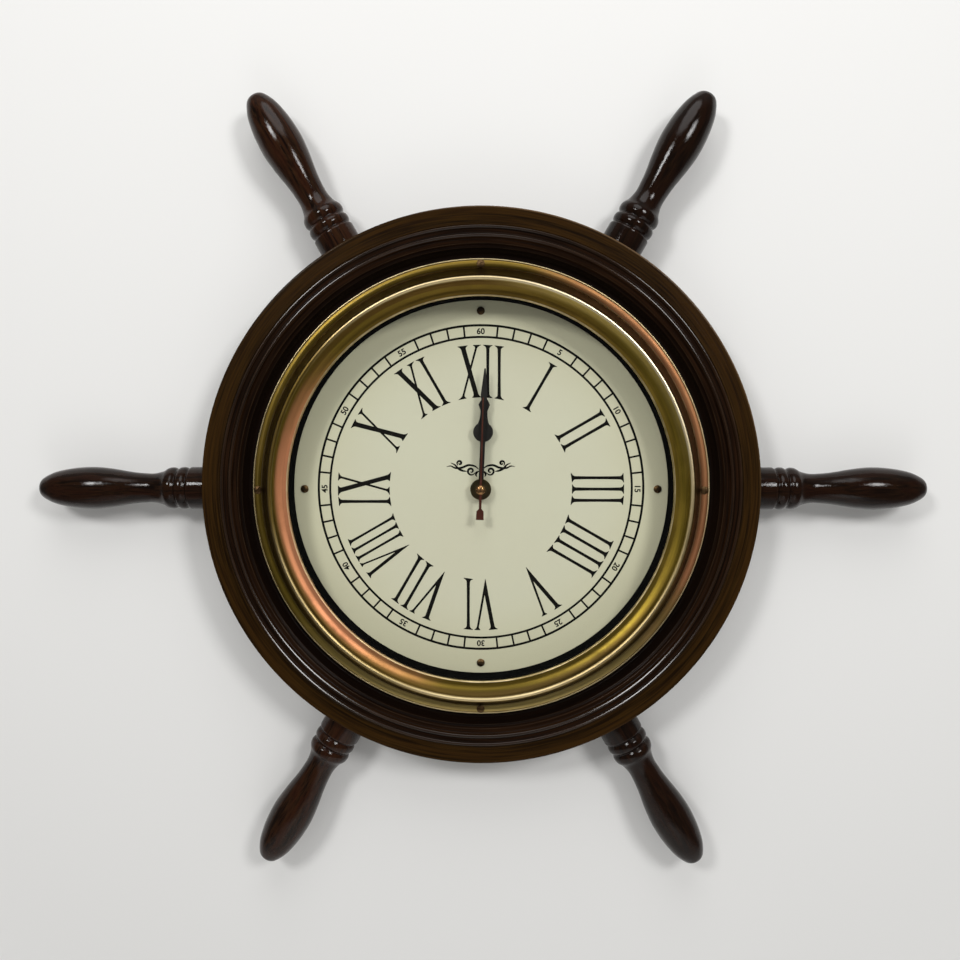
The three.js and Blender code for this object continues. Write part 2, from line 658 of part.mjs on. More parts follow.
// Movement case: front wall, side walls, a wall above the battery bay, the bush and the minute wheel's stud.
function movementCase() {
  const outline = () => roundedRectangle(-CASE_HALF, CASE_HALF, -CASE_HALF, CASE_HALF, CASE_CORNER);
  const inside = CASE_HALF - CASE_WALL;
  const front = outline();
  front.holes.push(roundHole(CENTRE, HOUR_PIPE_RADIUS + GAP));
  front.holes.push(roundHole(THIRD_AXIS, PIVOT_RADIUS + RUNNING_CLEARANCE));
  const walls = outline();
  walls.holes.push(roundedRectangle(-inside, inside, BAY_TOP_Y + CASE_WALL, inside, CASE_CORNER - CASE_WALL));
  walls.holes.push(roundedRectangle(-inside, inside, -inside, BAY_TOP_Y, BAY_CORNER));
  const frontBack = CASE_FRONT_Z - CASE_FRONT_THICKNESS;
  const lapZ = frontBack + CASE_OVERLAP;
  return join(
    slab(front, frontBack, CASE_FRONT_Z),
    slab(walls, CASE_BACK_Z, lapZ, 4),
    tube(HOUR_PIPE_RADIUS + GAP, BUSH_RADIUS, lapZ, BUSH_TOP_Z),
    at(rod(MINUTE_STUD_RADIUS, MINUTE_STUD_BACK_Z, lapZ), MINUTE_WHEEL_AXIS),
  );
}

// Movement cover: a plate over the train with pivot holes, the knob's hole and the step wheel's stud
function movementCover() {
  const inside = CASE_HALF - THIN_GAP;
  const shape = roundedRectangle(-inside, inside, BAY_TOP_Y, inside, CASE_CORNER);
  shape.holes.push(roundHole(KNOB_AXIS, KNOB_SHAFT_RADIUS + GAP));
  for (const axis of [CENTRE, THIRD_AXIS, ROTOR_AXIS]) {
    shape.holes.push(roundHole(axis, PIVOT_RADIUS + RUNNING_CLEARANCE));
  }
  const studBack = COVER_BACK_Z + CASE_OVERLAP;
  const stud = at(rod(STEP_STUD_RADIUS, studBack, STEP_STUD_FRONT_Z, SMALL_SIDES), STEP_AXIS);
  return join(slab(shape, COVER_BACK_Z, COVER_FRONT_Z, 4), stud);
}

// An AA cell along x with a flat plus contact at its right end and a coned spring contact at its left end
function addBattery() {
  const { radius, bevel, nubRadius, nubLength } = BATTERY;
  const half = BATTERY.length / 2;
  const end = CASE_HALF - CASE_WALL - THIN_GAP;
  const springZ = -half - GAP;
  const cell = [
    [0, -half],
    [radius - bevel, -half],
    [radius, bevel - half],
    [radius, half - bevel],
    [radius - bevel, half],
    [nubRadius, half],
    [nubRadius, half + nubLength],
    [0, half + nubLength],
  ];
  const lie = (geometry) => geometry.rotateY(Math.PI / 2).translate(0, BATTERY.y, BATTERY.z);
  const minus = [
    [0, -end],
    [CONTACT.radius, -end],
    [CONTACT.radius, CONTACT.thickness - end],
    [CONTACT.springFoot, CONTACT.thickness - end],
    [CONTACT.springTip, springZ],
    [0, springZ],
  ];
  add("battery", lie(turned(cell, SHAFT_SIDES)), FINISH.batteryJacket);
  add("battery_contact_plus", lie(rod(CONTACT.radius, end - CONTACT.thickness, end)), FINISH.steel);
  add("battery_contact_minus", lie(turned(minus, SHAFT_SIDES)), FINISH.steel);
}

// Stepping motor: stator plate round the rotor, coil across its two arms and the circuit board that drives it
function addMotor() {
  const { reach, armWidth, poleHalf, shoulder } = STATOR;
  const { x, y } = ROTOR_AXIS;
  const armTop = y + STATOR.armTop;
  const stator = outlineOf([
    [x - reach, y - poleHalf],
    [x + poleHalf, y - poleHalf],
    [x + reach, y - shoulder],
    [x + reach, armTop],
    [x + reach - armWidth, armTop],
    [x + reach - armWidth, y + poleHalf],
    [x - reach + armWidth, y + poleHalf],
    [x - reach + armWidth, armTop],
    [x - reach, armTop],
  ]);
  stator.holes.push(roundHole(ROTOR_AXIS, STATOR.boreRadius));
  const { flangeRadius, flangeWidth, windingRadius } = COIL;
  const winding = [
    [0, -reach],
    [flangeRadius, -reach],
    [flangeRadius, flangeWidth - reach],
    [windingRadius, flangeWidth - reach],
    [windingRadius, reach - flangeWidth],
    [flangeRadius, reach - flangeWidth],
    [flangeRadius, reach],
    [0, reach],
  ];
  const statorZ = COVER_FRONT_Z + THIN_GAP;
  const coilZ = statorZ + STATOR.thickness + THIN_GAP + flangeRadius;
  const coil = turned(winding, SHAFT_SIDES).rotateY(Math.PI / 2).translate(x, armTop - armWidth / 2, coilZ);
  const board = block(BOARD.left, BOARD.right, BOARD.bottom, BOARD.top, statorZ, statorZ + BOARD.thickness);
  add("stator", slab(stator, statorZ, statorZ + STATOR.thickness), FINISH.steel);
  add("coil", coil, FINISH.copper);
  add("circuit_board", board, FINISH.board);
}

// Going train, from the motor to the wheel that carries the minute arbor by friction
function addTrain() {
  const rotorTooth = pinionTooth(ROTOR_AXIS, STEP_AXIS, ROTOR_TEETH);
  const rotor = join(
    rod(ROTOR_MAGNET_RADIUS, ...LAYER.rotorMagnet),
    rod(PIVOT_RADIUS, PIVOT_BACK_Z, ROTOR_PIVOT_FRONT_Z),
    gear(ROTOR_TEETH, TRAIN_MODULE, rotorTooth, LAYER.rotorPinion),
  );
  add("rotor", at(rotor, ROTOR_AXIS), FINISH.steel);

  const stepTooth = wheelTooth(STEP_AXIS, ROTOR_AXIS);
  const stepPinionTooth = pinionTooth(STEP_AXIS, CENTRE, STEP_PINION_TEETH);
  const stepWheel = join(
    gear(STEP_WHEEL_TEETH, TRAIN_MODULE, stepTooth, LAYER.stepWheel, STEP_BORE_RADIUS),
    gear(STEP_PINION_TEETH, TRAIN_MODULE, stepPinionTooth, LAYER.stepPinion, STEP_BORE_RADIUS),
  );
  add("step_wheel", at(stepWheel, STEP_AXIS), FINISH.whitePlastic);

  const secondTooth = wheelTooth(CENTRE, STEP_AXIS);
  const secondPinionTooth = pinionTooth(CENTRE, THIRD_AXIS, SECOND_PINION_TEETH);
  const secondsWheel = join(
    gear(SECOND_WHEEL_TEETH, TRAIN_MODULE, secondTooth, LAYER.secondsWheel),
    gear(SECOND_PINION_TEETH, TRAIN_MODULE, secondPinionTooth, LAYER.secondsPinion),
    rod(SECOND_ARBOR_RADIUS, PIVOT_BACK_Z, SECOND_HAND.z + HAND_THICKNESS),
  );
  add("seconds_wheel", secondsWheel, FINISH.whitePlastic);

  const thirdTooth = wheelTooth(THIRD_AXIS, CENTRE);
  const thirdPinionTooth = pinionTooth(THIRD_AXIS, CENTRE, THIRD_PINION_TEETH);
  const thirdWheel = join(
    gear(THIRD_WHEEL_TEETH, TRAIN_MODULE, thirdTooth, LAYER.thirdWheel),
    gear(THIRD_PINION_TEETH, CENTRE_MODULE, thirdPinionTooth, LAYER.thirdPinion),
    rod(PIVOT_RADIUS, PIVOT_BACK_Z, CASE_FRONT_Z - CASE_OVERLAP),
  );
  add("third_wheel", at(thirdWheel, THIRD_AXIS), FINISH.whitePlastic);

  const centreTooth = wheelTooth(CENTRE, THIRD_AXIS);
  const arborBore = MINUTE_ARBOR_RADIUS + ARBOR_CLEARANCE;
  const centreWheel = gear(CENTRE_WHEEL_TEETH, CENTRE_MODULE, centreTooth, LAYER.centreWheel, arborBore);
  add("centre_wheel", centreWheel, FINISH.whitePlastic);
}

// Motion work: the minute arbor's pinion turns the minute wheel, which turns the hour wheel, and the setting
// knob at the back turns them all.
function addMotionWork() {
  const bore = SECOND_ARBOR_RADIUS + GAP;
  const cannonTooth = pinionTooth(CENTRE, MINUTE_WHEEL_AXIS, CANNON_TEETH);
  const minuteArborFront = MINUTE_HAND.z + HAND_THICKNESS + ARBOR_STANDING_PROUD;
  const minuteArbor = join(
    tube(bore, MINUTE_ARBOR_RADIUS, MINUTE_ARBOR_BACK_Z, minuteArborFront),
    gear(CANNON_TEETH, MOTION_MODULE, cannonTooth, LAYER.cannonPinion, bore),
  );
  add("minute_arbor", minuteArbor, FINISH.brass);

  const studBore = MINUTE_STUD_RADIUS + RUNNING_CLEARANCE;
  const minuteTooth = wheelTooth(MINUTE_WHEEL_AXIS, CENTRE);
  const minutePinionTooth = pinionTooth(MINUTE_WHEEL_AXIS, CENTRE, MINUTE_PINION_TEETH);
  const minuteWheel = join(
    gear(MINUTE_WHEEL_TEETH, MOTION_MODULE, minuteTooth, LAYER.minuteWheel, studBore),
    gear(MINUTE_PINION_TEETH, HOUR_MODULE, minutePinionTooth, LAYER.minutePinion, studBore),
  );
  add("minute_wheel", at(minuteWheel, MINUTE_WHEEL_AXIS), FINISH.whitePlastic);

  const pipeBore = MINUTE_ARBOR_RADIUS + ARBOR_CLEARANCE;
  const hourTooth = wheelTooth(CENTRE, MINUTE_WHEEL_AXIS);
  const hourPipeBack = LAYER.hourWheel[1] - CASE_OVERLAP;
  const hourPipeFront = HOUR_HAND.z + HAND_THICKNESS + ARBOR_STANDING_PROUD;
  const hourWheel = join(
    gear(HOUR_WHEEL_TEETH, HOUR_MODULE, hourTooth, LAYER.hourWheel, pipeBore),
    tube(pipeBore, HOUR_PIPE_RADIUS, hourPipeBack, hourPipeFront),
  );
  add("hour_wheel", hourWheel, FINISH.brass);

  const knobTooth = pinionTooth(KNOB_AXIS, MINUTE_WHEEL_AXIS, KNOB_TEETH);
  const [, gripFront] = LAYER.knobGrip;
  const [, shaftFront] = LAYER.knobPinion;
  const knob = join(
    gear(KNOB_GRIP_RIBS, KNOB_GRIP_MODULE, 0, LAYER.knobGrip),
    rod(KNOB_SHAFT_RADIUS, gripFront - CASE_OVERLAP, shaftFront),
    gear(KNOB_TEETH, MOTION_MODULE, knobTooth, LAYER.knobPinion),
  );
  add("setting_knob", at(knob, KNOB_AXIS), FINISH.blackPlastic);
}

function hangerBackZ() {
  return HANGER.pocketDepth - THIN_GAP - HANGER.thickness;
}

function hangerScrewAxes() {
  const { screwX, screwY } = HANGER;
  return [
    { name: "left", axis: new THREE.Vector2(-screwX, screwY) },
    { name: "right", axis: new THREE.Vector2(screwX, screwY) },
  ];
}

// Hanger: its lower end reaches over the ring's opening, where a keyhole takes the head of a wall screw.
function addHanger() {
  const { halfWidth, bottom, top, corner, thickness, holeY, holeRadius, slotTop, slotHalf } = HANGER;
  const backZ = hangerBackZ();
  const plate = roundedRectangle(-halfWidth, halfWidth, bottom, top, corner);
  const mouth = Math.acos(slotHalf / holeRadius);
  const keyhole = new THREE.Path();
  keyhole.absarc(0, holeY, holeRadius, Math.PI - mouth, 2 * Math.PI + mouth);
  keyhole.absarc(0, slotTop, slotHalf, 0, Math.PI);
  keyhole.closePath();
  plate.holes.push(keyhole);
  for (const { axis } of hangerScrewAxes()) plate.holes.push(roundHole(axis, SCREW_HOLE_RADIUS));
  add("hanger_plate", slab(plate, backZ, backZ + thickness), FINISH.steel);
  for (const { name, axis } of hangerScrewAxes()) {
    const screw = woodScrew(0, HANGER.screwLength).rotateY(Math.PI).translate(0, 0, backZ);
    add(`hanger_screw_${name}`, at(screw, axis), FINISH.darkBrass);
  }
}

addFront();
addHands();
addClamp();
add("movement_case", movementCase(), FINISH.blackPlastic);
add("movement_cover", movementCover(), FINISH.blackPlastic);
addBattery();
addMotor();
addTrain();
addMotionWork();
addHanger();

face.rotation.x = Math.PI / 2;
face.position.y = DEPTH / 2;

const clock = new THREE.Group();
clock.add(face);

export default clock;
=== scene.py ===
import json

import bmesh
import bpy
import numpy as np
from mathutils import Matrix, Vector
from mathutils.geometry import tessellate_polygon


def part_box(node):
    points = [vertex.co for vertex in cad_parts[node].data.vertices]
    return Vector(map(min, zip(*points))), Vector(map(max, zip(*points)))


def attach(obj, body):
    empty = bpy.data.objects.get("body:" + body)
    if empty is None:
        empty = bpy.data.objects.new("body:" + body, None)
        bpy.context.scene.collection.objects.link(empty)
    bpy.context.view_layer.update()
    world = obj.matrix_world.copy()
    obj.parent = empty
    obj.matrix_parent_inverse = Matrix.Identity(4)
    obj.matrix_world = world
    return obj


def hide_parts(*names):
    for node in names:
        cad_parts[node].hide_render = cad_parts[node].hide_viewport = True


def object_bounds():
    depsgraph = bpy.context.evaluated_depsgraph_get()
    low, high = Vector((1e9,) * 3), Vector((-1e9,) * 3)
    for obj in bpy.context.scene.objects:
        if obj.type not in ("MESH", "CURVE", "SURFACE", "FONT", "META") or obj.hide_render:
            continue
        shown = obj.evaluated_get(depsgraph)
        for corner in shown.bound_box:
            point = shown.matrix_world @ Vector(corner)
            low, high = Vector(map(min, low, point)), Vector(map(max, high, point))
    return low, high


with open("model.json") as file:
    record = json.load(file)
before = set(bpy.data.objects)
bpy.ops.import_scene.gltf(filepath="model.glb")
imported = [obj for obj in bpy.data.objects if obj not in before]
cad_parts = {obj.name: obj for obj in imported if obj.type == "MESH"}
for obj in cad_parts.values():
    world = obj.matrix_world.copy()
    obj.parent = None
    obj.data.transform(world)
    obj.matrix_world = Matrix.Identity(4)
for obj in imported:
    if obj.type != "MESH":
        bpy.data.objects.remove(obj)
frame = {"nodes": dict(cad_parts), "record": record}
cadLow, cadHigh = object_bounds()
scene = bpy.context.scene
scene.view_settings.view_transform = "Standard"
bodyOf = {node: body for body, nodes in frame["record"]["behaviour"]["bodies"].items() for node in nodes}

# Every piece is worked out in face millimetres: x right, y up, z off the wall, the hands' axis at x = y = 0
millimetre = 0.001
wallY = cadHigh.y
fullTurn = 2 * np.pi
samePoint = 1e-5  # neighbours of a line that are closer than this are one point


# Face millimetres become frame metres, where the dial faces -Y
def toFrame(points):
    points = np.asarray(points, float) * millimetre
    return np.stack([points[..., 0], wallY - points[..., 2], points[..., 1]], axis=-1)


# Quads between neighbours of a grid of points, whose rows and columns may each close round
def gridShell(grid, wrapRows=True, wrapColumns=True):
    rows, columns = grid.shape[:2]
    rowStarts = np.arange(rows if wrapRows else rows - 1)
    columnStarts = np.arange(columns if wrapColumns else columns - 1)
    row, column = [part.ravel() for part in np.meshgrid(rowStarts, columnStarts, indexing="ij")]
    nextRow, nextColumn = (row + 1) % rows, (column + 1) % columns
    corners = [(row, column), (nextRow, column), (nextRow, nextColumn), (row, nextColumn)]
    return grid.reshape(-1, 3), [np.stack([r * columns + c for r, c in corners], axis=1)]


def joinShells(*shells):
    starts = np.cumsum([0] + [len(points) for points, _ in shells])
    points = np.concatenate([points for points, _ in shells])
    faces = [block + start for (_, blocks), start in zip(shells, starts) for block in blocks]
    return points, faces


def moveShell(shell, offset):
    points, faces = shell
    return points + np.asarray(offset, float), faces


def turnShell(shell, clockwiseDegrees):
    points, faces = shell
    a = np.radians(clockwiseDegrees)
    turn = np.array([[np.cos(a), np.sin(a), 0], [-np.sin(a), np.cos(a), 0], [0, 0, 1]])
    return points @ turn.T, faces


# Turning: each profile point (radius, height) goes round the z axis in equal steps
def turnGrid(profile, steps):
    angle = np.linspace(0, fullTurn, steps, endpoint=False)[:, None]
    radius, height = profile[:, 0], profile[:, 1]
    return np.stack([radius * np.cos(angle), radius * np.sin(angle), height + 0 * angle], axis=-1)


def turned(profile, steps, closed=True):
    return gridShell(turnGrid(np.asarray(profile, float), steps), wrapColumns=closed)


def withoutDoubles(line):
    return line[np.linalg.norm(line - np.roll(line, 1, axis=0), axis=1) > samePoint]


# Each corner (x, y, trim) becomes a parabola between the points trim away on its two sides, at most half way
def softCorners(corners, steps, closed=True):
    corners = np.array(corners, float)
    place, trim = corners[:, :2], corners[:, 2:]
    back = np.roll(place, 1, axis=0) - place
    ahead = np.roll(place, -1, axis=0) - place
    start = place + back * np.minimum(trim / np.linalg.norm(back, axis=1, keepdims=True), 0.5)
    end = place + ahead * np.minimum(trim / np.linalg.norm(ahead, axis=1, keepdims=True), 0.5)
    if not closed:
        start[[0, -1]] = place[[0, -1]]
        end[[0, -1]] = place[[0, -1]]
    t = np.linspace(0, 1, steps)[None, :, None]
    arc = (1 - t) ** 2 * start[:, None] + 2 * t * (1 - t) * place[:, None] + t**2 * end[:, None]
    return withoutDoubles(arc.reshape(-1, 2))


def softTurned(corners, steps, cornerSteps, closed=True):
    return turned(softCorners(corners, cornerSteps, closed), steps, closed)


# A ring of four-cornered section, with one trim for all corners or four trims from the inner back one round
def washerShell(bore, radius, low, high, trims, steps=72):
    corners = zip((bore, radius, radius, bore), (low, low, high, high), np.broadcast_to(trims, 4))
    return softTurned(list(corners), steps, cornerSteps=4)


def cylinder(radius, low, high, steps=24):
    return turned([(0, low), (radius, low), (radius, high), (0, high)], steps, closed=False)


# Extra points close to both ends of each long straight, so that its shading stays flat
def holdFlats(line, near=0.3, longer=1.2):
    ahead = np.roll(line, -1, axis=0) - line
    length = np.linalg.norm(ahead, axis=1)
    step = ahead * (near / length)[:, None]
    three = np.stack([line, line + step, line + ahead - step], axis=1)
    isLong = length > longer
    return three[np.stack([np.ones(len(line), bool), isLong, isLong], axis=1)]


# How sharply an anticlockwise profile turns: near 1 on outside edges, near -1 in hollows
def reliefOf(profile, reach):
    back = profile - np.roll(profile, 1, axis=0)
    ahead = np.roll(profile, -1, axis=0) - profile
    cross = back[:, 0] * ahead[:, 1] - back[:, 1] * ahead[:, 0]
    step = (np.linalg.norm(back, axis=1) + np.linalg.norm(ahead, axis=1)) / 2
    return np.tanh(reach * np.arctan2(cross, (back * ahead).sum(axis=1)) / step)


# A closed loop moved to its left by a distance, along the mitre of its two edges
def shiftLoop(loop, distance):
    edge = np.roll(loop, -1, axis=0) - loop
    edge = edge / np.linalg.norm(edge, axis=1, keepdims=True)
    left = np.stack([-edge[:, 1], edge[:, 0]], axis=1)
    both = left + np.roll(left, 1, axis=0)
    return loop + 2 * both / np.maximum((both**2).sum(axis=1, keepdims=True), 0.5) * distance


def windLoop(loop, clockwise=False):
    x, y = loop.T
    area = (x * np.roll(y, -1) - y * np.roll(x, -1)).sum()
    return loop if (area > 0) != clockwise else loop[::-1]


# A plate between two heights: its loops, outer first and holes after, step in by bevel at both faces
def slab(loops, low, high, bevel=0.0):
    loops = [windLoop(np.asarray(loop, float), clockwise=i > 0) for i, loop in enumerate(loops)]
    insets = [shiftLoop(loop, bevel) for loop in loops]
    walls = []
    for loop, inset in zip(loops, insets):
        levels = [(inset, low), (loop, low + bevel), (loop, high - bevel), (inset, high)]
        grid = np.stack([np.column_stack([flat, np.full(len(flat), z)]) for flat, z in levels], axis=1)
        walls.append(gridShell(grid, wrapColumns=False))
    points, faces = joinShells(*walls)
    flat = [np.column_stack([inset, np.zeros(len(inset))]).tolist() for inset in insets]
    caps = np.array(tessellate_polygon(flat))
    return points, faces + [caps * 4 + 3, caps[:, ::-1] * 4]


def onCircle(x, y, radius, angle):
    return np.stack([x + radius * np.cos(angle), y + radius * np.sin(angle)], axis=1)


def circleLoop(x, y, radius, steps):
    return onCircle(x, y, radius, np.linspace(0, fullTurn, steps, endpoint=False))


def arcLine(x, y, radius, first, last, steps):
    return onCircle(x, y, radius, np.radians(np.linspace(first, last, steps)))


def roundedBox(left, right, bottom, top, corner, steps=8):
    turns = np.arange(4)[:, None] * np.pi / 2 + np.linspace(0, np.pi / 2, steps)
    centres = np.array([[right, top], [left, top], [left, bottom], [right, bottom]], float)
    centres += corner * np.array([[-1, -1], [1, -1], [1, 1], [-1, 1]])
    return (centres[:, None] + corner * np.stack([np.cos(turns), np.sin(turns)], axis=-1)).reshape(-1, 2)


# A smooth line through points: cubic pieces whose slope at a point follows its two neighbours
def smoothPath(points, steps=10):
    p = np.asarray(points, float)
    p = np.concatenate([[2 * p[0] - p[1]], p, [2 * p[-1] - p[-2]]])
    a, b, c, d = p[:-3, None], p[1:-2, None], p[2:-1, None], p[3:, None]
    t = np.linspace(0, 1, steps, endpoint=False)[None, :, None]
    curve = b + 0.5 * t * (c - a + t * (2 * a - 5 * b + 4 * c - d + t * (3 * (b - c) + d - a)))
    return np.concatenate([curve.reshape(-1, 2), p[-2:-1]])


# A pen stroke: its two sides stand half a width to the left and right of a path
def ribbonLoop(path, half):
    along = np.gradient(path, axis=0)
    along = along / np.linalg.norm(along, axis=1, keepdims=True)
    left = np.stack([-along[:, 1], along[:, 0]], axis=1) * half[:, None]
    return np.concatenate([path + left, (path - left)[::-1]])


def addObject(name, data):
    made = bpy.data.objects.new(name, data)
    scene.collection.objects.link(made)
    return made


def finalMesh(holder):
    return bpy.data.meshes.new_from_object(holder.evaluated_get(bpy.context.evaluated_depsgraph_get()))


# Doubles are merged, so poles and seams close, and faces point outwards
def tidyMesh(mesh, crease):
    shape = bmesh.new()
    shape.from_mesh(mesh)
    bmesh.ops.remove_doubles(shape, verts=shape.verts, dist=1e-6)
    bmesh.ops.recalc_face_normals(shape, faces=shape.faces)
    shape.to_mesh(mesh)
    shape.free()
    mesh.shade_smooth()
    mesh.set_sharp_from_angle(angle=np.radians(crease))


def meshOf(name, shell, crease=32, marks=None):
    points, blocks = shell
    mesh = bpy.data.meshes.new(name)
    mesh.from_pydata(toFrame(points).tolist(), [], [face for block in blocks for face in block.tolist()])
    for key, values in (marks or {}).items():
        flat = values.ndim == 1
        layer = mesh.attributes.new(key, "FLOAT" if flat else "FLOAT_VECTOR", "POINT")
        layer.data.foreach_set("value" if flat else "vector", values.astype(np.float32).ravel())
    tidyMesh(mesh, crease)
    return mesh


# A piece rides on the body of its node, and stands for that node unless it only lies on it
def showMesh(name, mesh, finish, node, stands=True):
    piece = addObject(name, mesh)
    mesh.materials.clear()
    mesh.materials.append(finish)
    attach(piece, bodyOf[node])
    if stands:
        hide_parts(node)
    return piece


def addPiece(name, shell, finish, node, stands=True, crease=32, marks=None):
    return showMesh(name, meshOf(name, shell, crease, marks), finish, node, stands)


# Shader building: a value goes into a socket as a link or as a constant
def feed(socket, value):
    if isinstance(value, bpy.types.NodeSocket):
        socket.id_data.links.new(value, socket)
    else:
        socket.default_value = value


def put(tree, kind, inputs=None, **settings):
    made = tree.nodes.new(kind)
    for key, value in settings.items():
        setattr(made, key, value)
    for key, value in (inputs or {}).items():
        feed(made.inputs[key], value)
    return made


# A sum goes into the tree of the first of its values that is a socket
def sums(operation, *values, clamp=False):
    tree = next(value.id_data for value in values if isinstance(value, bpy.types.NodeSocket))
    made = put(tree, "ShaderNodeMath", dict(enumerate(values)), operation=operation, use_clamp=clamp)
    return made.outputs[0]


def times(first, second):
    return sums("MULTIPLY", first, second)


def timesPlus(value, factor, added):
    return sums("MULTIPLY_ADD", value, factor, added)


def largest(value, *others):
    for other in others:
        value = sums("MAXIMUM", value, other)
    return value


def ramp(value, low, high, toLow=0.0, toHigh=1.0):
    inputs = {"Value": value, "From Min": low, "From Max": high, "To Min": toLow, "To Max": toHigh}
    return put(value.id_data, "ShaderNodeMapRange", inputs, interpolation_type="SMOOTHSTEP").outputs[0]


# The Mix node's sockets go by number: 0 is the factor, 2 and 3 are values, 6 and 7 are colours
def mixed(factor, first, second):
    return put(factor.id_data, "ShaderNodeMix", {0: factor, 2: first, 3: second}).outputs[0]


def blend(factor, first, second):
    inputs = {0: factor, 6: first, 7: second}
    return put(factor.id_data, "ShaderNodeMix", inputs, data_type="RGBA").outputs[2]


# A layer over a base colour; cover is how far it hides the base where its mask is full
def coat(base, mask, cover, shade):
    return blend(times(mask, cover), base, shade)


def noise(vector, scale, detail, rough, w=None):
    inputs = {"Vector": vector, "Scale": scale, "Detail": detail, "Roughness": rough}
    if w is not None:
        inputs["W"] = w
    dimensions = "3D" if w is None else "4D"
    return put(vector.id_data, "ShaderNodeTexNoise", inputs, noise_dimensions=dimensions).outputs[0]


def vectors(operation, *values):
    made = put(values[0].id_data, "ShaderNodeVectorMath", dict(enumerate(values)), operation=operation)
    return made.outputs["Value" if operation in ("LENGTH", "DOT_PRODUCT") else "Vector"]


def partsOf(vector):
    return put(vector.id_data, "ShaderNodeSeparateXYZ", {0: vector}).outputs


def colour(red, green, blue):
    return (red, green, blue, 1.0)


# Every group reads a place and one value, and puts out masks
def newGroup(name, valueName, default, outputs):
    tree = bpy.data.node_groups.new(name, "ShaderNodeTree")
    tree.interface.new_socket("Place", in_out="INPUT", socket_type="NodeSocketVector")
    value = tree.interface.new_socket(valueName, in_out="INPUT", socket_type="NodeSocketFloat")
    value.default_value = default
    for socketName in outputs:
        tree.interface.new_socket(socketName, in_out="OUTPUT", socket_type="NodeSocketFloat")
    given = tree.nodes.new("NodeGroupInput").outputs
    return tree, given["Place"], given[valueName], tree.nodes.new("NodeGroupOutput").inputs


# Noises are (scale, detail, roughness)
grainLook = {"broad": (1.0, 2.0, 0.5), "fine": (2.6, 4.0, 0.6), "pores": (7.0, 2.0, 0.5), "broadShare": 0.35,
             "fineShare": 0.65, "figure": (0.32, 0.68), "streak": (0.36, 0.64), "pore": (0.60, 0.74)}


# Wood grain: long streaks and short pores in slow coordinates (Place) and one quick coordinate (Across)
def makeGrainGroup():
    look = grainLook
    tree, place, across, out = newGroup("woodGrain", "Across", 0.0, ["Streak", "Figure", "Pore"])
    broad, fine, pores = [noise(place, *look[key], across) for key in ("broad", "fine", "pores")]
    feed(out["Figure"], ramp(broad, *look["figure"]))
    streak = timesPlus(broad, look["broadShare"], times(fine, look["fineShare"]))
    feed(out["Streak"], ramp(streak, *look["streak"]))
    feed(out["Pore"], ramp(pores, *look["pore"]))
    return tree


wearLook = {"broken": (70.0, 4.0, 0.6), "gaps": (0.30, 0.70, 0.35, 1.0), "edge": (0.25, 0.9),
            "hollow": (-0.15, -0.85)}


# Wear: outside edges rubbed bright in places, hollows that keep their dirt
def makeWearGroup():
    look = wearLook
    tree, place, relief, out = newGroup("edgeWear", "Relief", 0.0, ["Edge", "Hollow"])
    broken = ramp(noise(place, *look["broken"]), *look["gaps"])
    feed(out["Edge"], sums("MULTIPLY", ramp(relief, *look["edge"]), broken, clamp=True))
    feed(out["Hollow"], ramp(relief, *look["hollow"]))
    return tree


# Here the scale is the group's own, so a noise is (detail, roughness)
mottleLook = {"fine": 22.0, "smudge": 3.1, "cloudNoise": (3.0, 0.5), "speckNoise": (2.0, 0.6),
              "smudgeNoise": (4.0, 0.65), "clouds": (0.3, 0.7), "smudges": (0.45, 0.75)}


# Mottle: soft clouds, a fine speckle and smudges, all from the piece's own coordinates
def makeMottleGroup():
    look = mottleLook
    tree, place, scale, out = newGroup("mottle", "Scale", 20.0, ["Cloud", "Speck", "Smudge"])
    feed(out["Cloud"], ramp(noise(place, scale, *look["cloudNoise"]), *look["clouds"]))
    feed(out["Speck"], noise(place, times(scale, look["fine"]), *look["speckNoise"]))
    smudge = noise(place, times(scale, look["smudge"]), *look["smudgeNoise"])
    feed(out["Smudge"], ramp(smudge, *look["smudges"]))
    return tree


grainGroup, wearGroup, mottleGroup = makeGrainGroup(), makeWearGroup(), makeMottleGroup()
socketNames = {
    "base": "Base Color", "rough": "Roughness", "metallic": "Metallic", "specular": "Specular IOR Level",
    "coat": "Coat Weight", "coatRough": "Coat Roughness", "coatIor": "Coat IOR", "ior": "IOR",
    "transmission": "Transmission Weight", "normal": "Normal",
}


# Constants and links into the shader of a finish, by their short names
def shaderGets(tree, **values):
    shader = tree.nodes["Principled BSDF"]
    for key, value in values.items():
        feed(shader.inputs[socketNames[key]], value)


def newFinish(name, **constants):
    material = bpy.data.materials.new(name)
    material.use_nodes = True
    shaderGets(material.node_tree, **constants)
    return material, material.node_tree


# The finish gives way to clear air where the mask is full
def letThrough(tree, mask, tint):
    clear = put(tree, "ShaderNodeBsdfTransparent", {"Color": tint}).outputs[0]
    solid = tree.nodes["Principled BSDF"].outputs[0]
    either = put(tree, "ShaderNodeMixShader", {0: mask, 1: solid, 2: clear}).outputs[0]
    feed(tree.nodes["Material Output"].inputs["Surface"], either)


def groupOf(tree, group, inputs):
    return put(tree, "ShaderNodeGroup", inputs, node_tree=group).outputs


def ownPlace(tree):
    return put(tree, "ShaderNodeTexCoord").outputs["Object"]


def ownMark(tree, name, output="Fac"):
    return put(tree, "ShaderNodeAttribute", attribute_name=name).outputs[output]


def wearOf(tree, place):
    return groupOf(tree, wearGroup, {"Relief": ownMark(tree, "relief"), "Place": place})


def bumped(height, strength, distance):
    inputs = {"Height": height, "Strength": strength, "Distance": distance}
    return put(height.id_data, "ShaderNodeBump", inputs).outputs[0]


